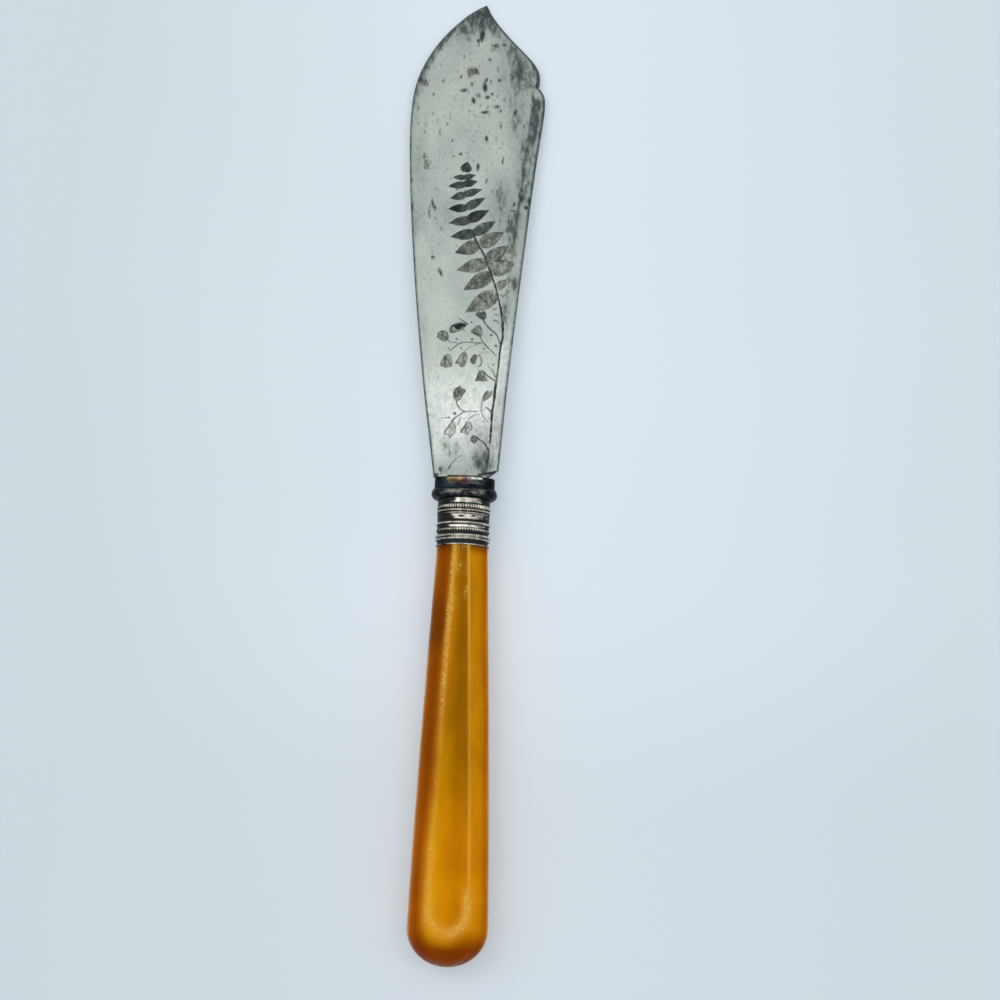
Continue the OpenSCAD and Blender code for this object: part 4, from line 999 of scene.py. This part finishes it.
def tarnish(x, along, left, border, right):
    """How far the plate is tarnished: clouds, the belly's edge, the lobe's back, the border and the strip."""
    near_edge = np.interp(along, [0, 60, 74, 86, 92, 103, 112], [0.1, 0.2, 0.36, 0.44, 0.72, 0.84, 1])
    near_edge = near_edge * smooth_step(2.5, 1.0, x - left)
    near_back = np.interp(along, [NOTCH_S - 1, NOTCH_S + 1, 99, 101, 106, 112], [0, 1.05, 0.9, 0.6, 0.72, 1])
    near_back = near_back * smooth_step(1.3, 0.6, right - x)
    near_right = np.interp(along, [20, 54, 62, 90, NOTCH_S, NOTCH_S + 0.5], [0.2, 0.45, 0.95, 1.1, 0.9, 0])
    near_right = near_right * smooth_step(0.7, 0.3, right - x)
    line_half = np.interp(
        along, [40, 48, 53, 62, 63, 66, 75, 84, 91], [0.3, 0.4, 0.5, 0.46, 0.2, 0.34, 0.4, 0.45, 0.3])
    beside = smooth_step(0.4, -0.1, np.abs(x - border + 0.16) - line_half) * np.interp(
        along, [30, 38, 44, 50, 53, 62, 64, 66, 75, 91, 92.5],
        [0, 0.3, 0.55, 0.6, 0.85, 0.95, 0.7, 0.85, 0.85, 1, 0])
    in_strip = smooth_step(-0.25, 0.1, x - border) * (along < NOTCH_S + 1)
    strip = in_strip * (1 - 0.75 * smooth_step(0.95, 0.7, right - x)) * np.interp(
        along, [0, 30, 41, 45, 50, 61, 65, 76, 80, 89.5, 91],
        [0.04, 0.1, 0.3, 0.45, 0.2, 0.24, 0.66, 0.7, 0.98, 1, 0])
    return 0.06 + np.max([clouds(x, along, CLOUDS, 1.5), near_edge, near_back, near_right, beside, strip], axis=0)


def painted_shine(x, along, border):
    """How bright a reflection is painted on the plate: near the root, less on its right, and on the strip's lower
    end.
    """
    face = np.interp(along, [-1, 2, 5, 8, 11, 16, 20, 25, 31], [0, 0.1, 0.66, 1.05, 1.15, 0.9, 0.7, 0.24, 0])
    face = face * (1 - 0.7 * smooth_step(-1, 4, x) * smooth_step(14, 8, along) * (x < border))
    return np.maximum(face, np.interp(along, [-1, 3, 28, 42], [0.8, 1.35, 1.0, 0]) * (x > border))


def blade_rows():
    """Places of the blade's rings along it: close together where it is engraved, then wider to the point."""
    fine_from, fine_to, fine_step = 1.2, 74.2, 0.142
    return np.concatenate([
        np.linspace(SEAM, fine_from, 6, endpoint=False), np.arange(fine_from, fine_to, fine_step),
        np.linspace(fine_to, NOTCH_S, 56, endpoint=False), np.linspace(NOTCH_S, BLADE_LEN, 66)])[:, None]


def blade_section(s):
    """The blade's section at places along it: points across and out, which of them are in front, and the
    places across of the belly, the strip's border and the back.

    Belly and back follow their shares of the reach. The strip narrows to the ground edge's width as the
    square root of the share of a short stretch before the notch. From the back edge the columns run
    over the strip, the face and the ground edge, whose bend is a quarter round, and return over the
    plain underside. They lie close together from the border to the left side of the engraved window.
    """
    t = s / BLADE_LEN
    left = -BELLY_W * curve_at(BELLY, t)
    whole = BACK_W * np.where(t <= NOTCH, curve_at(BACK, np.maximum(t, CHAMFER_END)), curve_at(LOBE, t))
    chamfer = CHAMFER_SHARE + (BACK[0, 1] - CHAMFER_SHARE) * t / CHAMFER_END
    right = np.where(t < CHAMFER_END, BACK_W * chamfer, whole)
    grind = np.minimum(GRIND_W, (right - left) / 4)
    closing = np.sqrt(np.clip((NOTCH - t) / STRIP_CLOSE, 0, 1))
    strip = np.where(t < NOTCH, grind + (STRIP_W - grind) * closing, grind)
    least_strip = 0.05
    border = np.minimum(whole - strip, right - least_strip)
    half, edge_half = (BASE_T + (POINT_T - BASE_T) * t) / 2, EDGE_T / 2
    rim = half + (edge_half - half) * (right - border) / strip
    inner = left + grind
    middle = border + (inner - border) * np.clip((border - WINDOW_LEFT) / (border - inner), 0.1, 0.97)
    strip_n, window_n, margin_n, grind_n, back_n = 6, 104, 12, 3, 9
    turn = np.linspace(0, np.pi / 2, grind_n + 1)[1:]
    edge = np.full(s.shape, -edge_half)
    x = np.hstack([
        right, span(right, border, strip_n), span(border, middle, window_n, 1), span(middle, inner, margin_n, 1),
        inner - (inner - left) * np.sin(turn), left, span(inner, right - grind, back_n)])
    z = np.hstack([
        edge, span(rim, half, strip_n), half * np.ones(window_n + margin_n),
        half + (edge_half - half) * (1 - np.cos(turn)), edge, -half * np.ones(back_n + 1)])
    front = np.zeros(x.shape[1], dtype=bool)
    front[1:1 + strip_n + 1 + window_n + margin_n] = True
    return x, z, front, left, border, right


def blade():
    """The blade's skin: rings across it from base to point, each once round the section, with the cuts
    pressed into its front."""
    s = blade_rows()
    x, z, front, left, border, right = blade_section(s)
    along = np.repeat(s, x.shape[1], axis=1)
    fields, depth = engraving(x, along, border, front)
    z = z - depth
    fields["spot"] = blobs(x, along, SPOTS)
    fields["stain"] = blobs(x, along, [(*place, 0, 1.1) for place in STAINS])
    fields["bloom"] = clouds(x, along, BLOOMS, 1.6)
    fields["grime"] = tarnish(x, along, left, border, right)
    fields["rim"] = np.minimum(np.minimum(x - left, right - x), 2)
    fields["shine"] = painted_shine(x, along, border)
    fields["wear"] = (0.2 + 0.8 * np.clip(blobs(x, along, WORN), 0, 1)) * smooth_step(30, 60, along)
    # The tongue: the section shrinks at the base and runs on into the neck
    tongue_x = (x[0] - (left[0] + right[0]) / 2) * TONGUE_W / (right[0] - left[0])
    tongue_z = np.sign(z[0]) * TONGUE_T / 2
    tongue = [on_blade(tongue_x, np.full(x.shape[1], place), tongue_z) for place in (-TONGUE_LEN, SEAM)]
    rings = np.concatenate([np.array(tongue), on_blade(x, along, z)])
    return piece("blade", rings, blade_material(), led_on(fields, len(tongue)), 24)


def bolster():
    """The bolster's skin: the slot, the oval neck, the half-round roll, and the boss with the tang's socket."""
    n = 120
    w = turn_once(n)
    slot_a, slot_b = TONGUE_W / 2 + SLOT_CLEAR, TONGUE_T / 2 + SLOT_CLEAR
    # A rectangle's rim in the directions of an oval's points
    reach = np.minimum(slot_a / np.maximum(np.abs(np.cos(w)), 1e-9), slot_b / np.maximum(np.abs(np.sin(w)), 1e-9))
    rings = [on_blade(reach * np.cos(w), np.full(n, place), reach * np.sin(w))
             for place in (-TONGUE_LEN - SLOT_CLEAR, 0)]
    rings[1][:, 1] = base_y
    neck_a, neck_b = NECK_W / 2, NECK_T / 2
    for u in np.linspace(0, np.pi / 2, 7):
        k = NECK_ROUND * (1 - np.sin(u))
        rings.append(around(neck_a - k, neck_b - k, base_y - NECK_ROUND * (1 - np.cos(u)), n))
    for y in np.linspace(base_y - NECK_ROUND, roll_y + 0.25, 8)[1:]:
        rings.append(around(neck_a, neck_b, y, n))
    rub_and_sheen = [0, 0] + [0.2] * (len(rings) - 2)
    # The roll: half a round from the neck's size to the ferrule's, with two fine grooves run round it
    flange_a, flange_b = (bolster_high[0] - bolster_low[0]) / 2, (bolster_high[2] - bolster_low[2]) / 2
    for u in np.linspace(np.pi / 2, -np.pi / 2, 33):
        a, b = (neck_a, neck_b) if u > 0 else (tube_a + RING_H / 2, tube_b + RING_H / 2)
        groove = GROOVE_DEEP * sum(np.exp(-((u - at) / GROOVE_TURN) ** 2) for at in (GROOVE_AT, -GROOVE_AT))
        a, b = (start + (end - start) * np.cos(u) - groove for start, end in ((a, flange_a), (b, flange_b)))
        rings.append(around(a, b, roll_y + FLANGE_LEN / 2 * (np.sin(u) - 1), n))
        rub_and_sheen.append(0.2 + 0.68 * max(np.cos(u * 1.35), 0) - 3 * groove)
    for a, b, y in ((inner_a, inner_b, seat_y), (inner_a, inner_b, boss_y), (tang_r, tang_r, boss_y),
                    (tang_r, tang_r, tang_high[1])):
        rings.append(around(a, b, y, n))
        rub_and_sheen.append(0)
    rings = np.array(rings)
    # The crown's painted highlight and wear lean to the faces that look up; the neck's bare silver lies on its upper
    # faces near the blade
    x, y, top = rings[..., 0], rings[..., 1], np.abs(np.clip((rings[..., 2] - axis_z) / flange_b, -1, 1))
    bare = smooth_step(base_y - 2.1, base_y - 1.5, y) * smooth_step(0.3, 0.5, top)
    bare = 1.05 * bare * smooth_step(-4.0, -3.3, x) * smooth_step(6.2, 5.2, x)
    fields = {"rub_and_sheen": np.array(rub_and_sheen)[:, None] * (0.2 + 0.8 * smooth_step(0.5, 0.85, top)), "neck": bare}
    return piece("bolster", rings, bolster_material(), fields, 28)


def ferrule():
    """The ferrule's tube: its profile is the higher of the bands and the half-round rings, with two rows of
    beads, each a ball sunk in its band, at the crowns of a wave that runs round the tube."""
    n = BEAD_COUNT * 10
    t = np.linspace(0, 1, 131)[:, None]
    height = np.interp(t, BANDS[:, 0], BANDS[:, 1])
    for middle, wide, high in RINGS:
        arc = np.sqrt(np.clip(1 - ((t - middle) / wide) ** 2, 0, 1))
        height = np.maximum(height, np.where(arc > 0, 0.1 + (high - 0.1) * arc, 0))
    w = turn_once(n)
    bead_angle = 2 * np.pi / BEAD_COUNT
    off = (w + bead_angle / 2) % bead_angle - bead_angle / 2
    girth_r = np.hypot(tube_a * np.sin(w), tube_b * np.cos(w))
    beads = np.zeros((len(t), n))
    for row, reach in BEAD_ROWS:
        square = 1 - (off * girth_r / BEAD_R) ** 2 - ((t - row) / reach) ** 2
        beads = np.maximum(beads, BEAD_R * np.sqrt(np.clip(square, 0, None)))
    lift = height * RING_H + np.maximum(beads - BEAD_SUNK, 0)
    y = np.repeat(seat_y - t * (seat_y - shoulder_y), n, axis=1)
    outside = np.stack([
        axis_x + (tube_a + lift) * np.cos(w), y, axis_z + (tube_b + lift) * np.sin(w)], axis=-1)
    inside = np.array([around(bore_a, bore_b, place, n) for place in (shoulder_y, seat_y)])
    # Oxide in the grooves and the broad band's spots; down the sides, less on the crests there, painted shade that is
    # partly oxide; and painted shade on the first band beside the roll
    drift = 0.09 * (np.sin(31 * t) + np.sin(13 * t + 2))
    side = np.maximum(smooth_step(0.26, 0.8, drift - np.cos(w)), 0.8 * smooth_step(0.6, 0.94, drift + np.cos(w)))
    side = side * (0.85 - 0.62 * smooth_step(0.14, 0.34, lift))
    spots = np.max([smooth_step(1.4, 0.5, np.hypot((np.cos(w) - a) / c, (t - b) / d))
                    for a, b, c, d in BAND_SPOTS], axis=0)
    groove = smooth_step(0.13, 0.03, lift)
    oxide = np.clip(0.06 + 0.2 * smooth_step(0.13, 0.11, t) + 0.95 * groove + 0.7 * spots + side, 0, 1.15)
    oxide = np.concatenate([oxide, np.ones((len(inside), n))])
    rings = np.concatenate([outside, inside])
    return piece("ferrule", rings, ferrule_material(), {"oxide": oxide}, 40, tube=True)


def handle_section(t, n):
    """Sections of the handle at shares t of its tapered length, with the middle height and the half width.

    The reach in a direction is that of three pairs of flats, front and back, sides and canted sides,
    joined by a high power so that their ridges are softly rounded, the right ones less worn than the
    left. Front and back are then cut flat.
    """
    grow = 1 - (1 - t) ** SWELL
    low = (axis_z - tube_b) * (1 - smooth_step(0, RAMP_SHARE, t))
    high = axis_z + tube_b + (handle_high[2] - axis_z - tube_b) * grow
    a = tube_a + ((handle_high[0] - handle_low[0]) / 2 - tube_a) * grow
    b = (high - low) / 2
    w = turn_once(n)
    d = (a - SIDE_W) * math.cos(CANT) + b * math.sin(CANT)
    power = RIDGE * (1 + 0.9 * smooth_step(-0.2, 0.5, np.cos(w)))
    total = sum((np.abs(np.cos(w - turn)) / far) ** power
                for turn, far in ((0, a), (np.pi / 2, b), (CANT, d), (-CANT, d)))
    r = total ** (-1 / power)
    return r * np.cos(w), np.clip(FLAT_SHARE * r * np.sin(w), -b, b), (high + low) / 2, a


def handle_wear(x, from_butt, along, panel, half):
    """The handle's fields: the place across and along, and its crazing, painted highlight and red-brown parts.

    The crazing takes the left ridge, the panel near the ferrule and an arc round the panel's end, its pale
    flecks part of the painted highlight on the ridge and the arc. The painted highlight, the sheen, takes the
    same ridge and arc and a fine line on the right ridge, and the red-brown lies outside an oval near the butt.
    """
    reach = np.abs(x)
    beyond = 1 + (reach - panel) / np.maximum(half - panel, 0.01)
    across = np.sign(x) * np.where(reach < panel, reach / np.maximum(panel, 0.01), np.clip(beyond, 1, 2))
    left = np.exp(-((x + panel) / (0.55 + 0.4 * along)) ** 2) * smooth_step(6.5, 9.5, from_butt)
    worn = left * np.interp(along, [0, 0.16, 0.36, 0.5, 0.7, 0.85, 1], [1, 1, 0.86, 0.4, 0.3, 0.5, 0.5])
    upper = smooth_step(0.28, 0.12, along) * smooth_step(1.2, 0.7, np.abs(across)) * 0.4
    arc = np.hypot(x / ARC_HALF, np.minimum(from_butt - ARC_PLACE, 0) / ARC_DROP)
    end = np.exp(-((arc - 1) / 0.27) ** 2) * smooth_step(6.4, 0.8, from_butt - ARC_PLACE)
    end = end * (0.72 + 0.28 * smooth_step(-2, 2, x))
    crazed_highlight = np.clip(np.maximum(np.maximum(worn, upper), 0.85 * end), 0, 1)
    # A painted highlight: a fine line on the right ridge, then the left ridge's band and the arc
    line = np.exp(-((x - panel) / 0.27) ** 2) * smooth_step(6, 10, from_butt) * np.interp(
        along, [0, 0.14, 0.28, 0.42, 0.6, 0.8, 0.93, 1], [0.98, 0.92, 0.74, 0.5, 0.58, 0.78, 0.6, 0.1])
    bloom = left * np.interp(along, [0, 0.35, 0.5, 0.65, 0.8, 1], [0.66, 0.5, 0.2, 0.12, 0.4, 0.3])
    sheen = np.clip(np.maximum(line, np.maximum(bloom, 0.7 * end)), 0, 1)
    oval = np.hypot(x / half.max(), (from_butt - 9) / 9)
    butt = smooth_step(0.34, 0.68, oval) * smooth_step(8.6, 2.8, from_butt)
    return {"across": across, "along": along, "crazed_highlight": crazed_highlight, "sheen": sheen, "butt": butt}


def handle():
    """The handle's skin: the bore, the spigot, the canted taper and the rounded butt, with slight hollows."""
    n = 160
    taper = np.concatenate([np.linspace(0, 0.06, 12, endpoint=False), np.linspace(0.06, 1, 150)])[:, None]
    last_turn = math.radians(2)
    turn = np.linspace(np.pi / 2, last_turn, 40)[1:, None]
    # The butt's rings are the last section, shrunk as a quarter round
    x, z, mid, a = (np.concatenate([rows, np.repeat(rows[-1:], len(turn), axis=0)])
                    for rows in handle_section(taper, n))
    shrink = np.concatenate([np.ones(taper.shape), np.sin(turn)])
    x, z = x * shrink, z * shrink
    y = shoulder_y - taper * (shoulder_y - butt_y - BUTT_ROUND)
    y = np.concatenate([y, y[-1] - BUTT_ROUND * np.cos(turn) / math.cos(last_turn)])
    # Slight hollows in front where the polisher's wheel went, never proud of the section
    hollow = POLISH_SHARE * (1 + np.sin(0.21 * y + x) * np.sin(0.57 * y - 0.7 * z))
    size = 1 - hollow * smooth_step(0, 3, shoulder_y - y) * (z > 0)
    body = np.stack([axis_x + x * size, np.repeat(y, n, axis=1), mid + z * size], axis=-1)
    start = [around(BORE_R, BORE_R, place, n) for place in (bore_end_y, spigot_y)]
    start += [around(inner_a, inner_b, place, n) for place in (spigot_y, shoulder_y)]
    along = np.concatenate([taper, np.ones(turn.shape)]) * np.ones(n)
    fields = handle_wear(x, y - butt_y, along, (a - SIDE_W) * shrink, a * shrink)
    rings = np.concatenate([np.array(start), body])
    return piece("handle", rings, handle_material(), led_on(fields, len(start)), 30)


def dress(node, material):
    """Gives a node of the frame, whose shape stays as it is, its material."""
    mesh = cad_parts[node].data
    mesh.materials.clear()
    mesh.materials.append(material)


def floor():
    """A pale sheet that the knife lies on, with light painted in: a faint glow that lightens the shadows, palest
    where the knife lies, painted dimmer at the sides and towards the near end.
    """
    half = 1.5
    mesh = bpy.data.meshes.new("floor")
    corners = [(-half, -half, 0), (half, -half, 0), (half, half, 0), (-half, half, 0)]
    mesh.from_pydata(corners, [], [(0, 1, 2, 3)])
    # The sheet's faint glow of its own lifts the shadows; across, it is painted palest round the knife and dimmer at
    # the sides, and dimmer towards the near end
    material, n = new_material(
        "paper_painted_light", Roughness=0.9, Emission_Color=rgb(211, 222, 229), Emission_Strength=0.36)
    drift = n.times(n.swing(9.0, 2.0), 0.04)
    paper_and_light = n.stops(n.spread(n.plus(n.axis("X"), drift), -0.1, 0.12), [
        (0.07, (182, 189, 195)), (0.3, (191, 199, 205)), (0.42, (200, 206, 213)), (0.55, (199, 206, 213)),
        (0.72, (195, 202, 209)), (0.95, (187, 194, 200))])
    near = n.ramp(n.plus(n.axis("Y"), drift), -0.02, -0.075, 0.0, 0.5)
    paper_and_light = n.mix(near, paper_and_light, rgb(176, 183, 189))
    n.tree.links.new(paper_and_light, n.tree.nodes["Principled BSDF"].inputs["Base Color"])
    mesh.materials.append(material)
    sheet = bpy.data.objects.new("floor", mesh)
    bpy.context.scene.collection.objects.link(sheet)


def softbox(name, place, width, height, power, colour=(1, 1, 1)):
    """A soft rectangular light that looks at the middle of the knife."""
    light = bpy.data.lights.new(name, "AREA")
    light.shape = "RECTANGLE"
    light.size, light.size_y = width, height
    light.energy = power
    light.color = colour
    lamp = bpy.data.objects.new(name, light)
    lamp.location = place
    lamp.rotation_euler = (-Vector(place)).to_track_quat("-Z", "Y").to_euler()
    bpy.context.scene.collection.objects.link(lamp)


def lighting():
    """A pale room, brightest overhead, with a soft key from the upper left and a weak light from the right."""
    world = bpy.data.worlds.new("pale_room")
    bpy.context.scene.world = world
    world.use_nodes = True
    n = Nodes(world.node_tree)
    way = n.put("TexCoord", {}, "Generated")
    dome = n.ramp(n.axis("Z", way), 0.5, 0.97, 0.36, 1.16)
    # A round glow a little beyond overhead, given by its lean, its reach and its full part in radians
    lean, glow_reach, glow_full = 0.345, 0.16, 0.03
    toward = n.put("VectorMath", {0: way, 1: (0.0, math.sin(lean), math.cos(lean))}, "Value", operation="DOT_PRODUCT")
    glow = n.ramp(toward, math.cos(glow_reach), math.cos(glow_full), 0.0, 0.4)
    sky = world.node_tree.nodes["Background"]
    sky.inputs["Color"].default_value = (0.95, 0.98, 1.0, 1)
    world.node_tree.links.new(n.plus(dome, glow), sky.inputs["Strength"])
    softbox("key_light", (-0.62, 0.2, 0.9), 0.5, 0.7, 1.7, (1.0, 0.98, 0.95))
    softbox("far_light", (0.62, -0.1, 0.8), 0.12, 0.5, 0.5)


def camera():
    """The photograph's view: the camera looks at the target from its height above the table and its turn."""
    ahead = Vector((-math.sin(VIEW_TURN) * math.cos(VIEW_RISE), math.cos(VIEW_TURN) * math.cos(VIEW_RISE),
                    -math.sin(VIEW_RISE)))
    side = Vector((math.cos(VIEW_TURN), math.sin(VIEW_TURN), 0))
    top = side.cross(ahead)
    data = bpy.data.cameras.new("camera")
    data.sensor_width, data.lens = VIEW_SENSOR, VIEW_LENS
    data.clip_start, data.clip_end = 0.01, 10
    viewer = bpy.data.objects.new("camera", data)
    place = Matrix.Translation(Vector(VIEW_TARGET) * MM - ahead * (VIEW_AWAY * MM))
    viewer.matrix_world = place @ Matrix((side, top, -ahead)).transposed().to_4x4()
    bpy.context.scene.collection.objects.link(viewer)
    bpy.context.scene.camera = viewer


camera()
lighting()
floor()
blade()
bolster()
ferrule()
handle()
dress("solder", plain_metal("bare_solder", (128, 112, 84), (84, 66, 52), 0.45, 300.0))
dress("tang", plain_metal("forged_iron", (112, 108, 104), (62, 58, 56), 0.5, 260.0))
dress("cement", cement_material())

bpy.context.scene.view_settings.view_transform = "Standard"
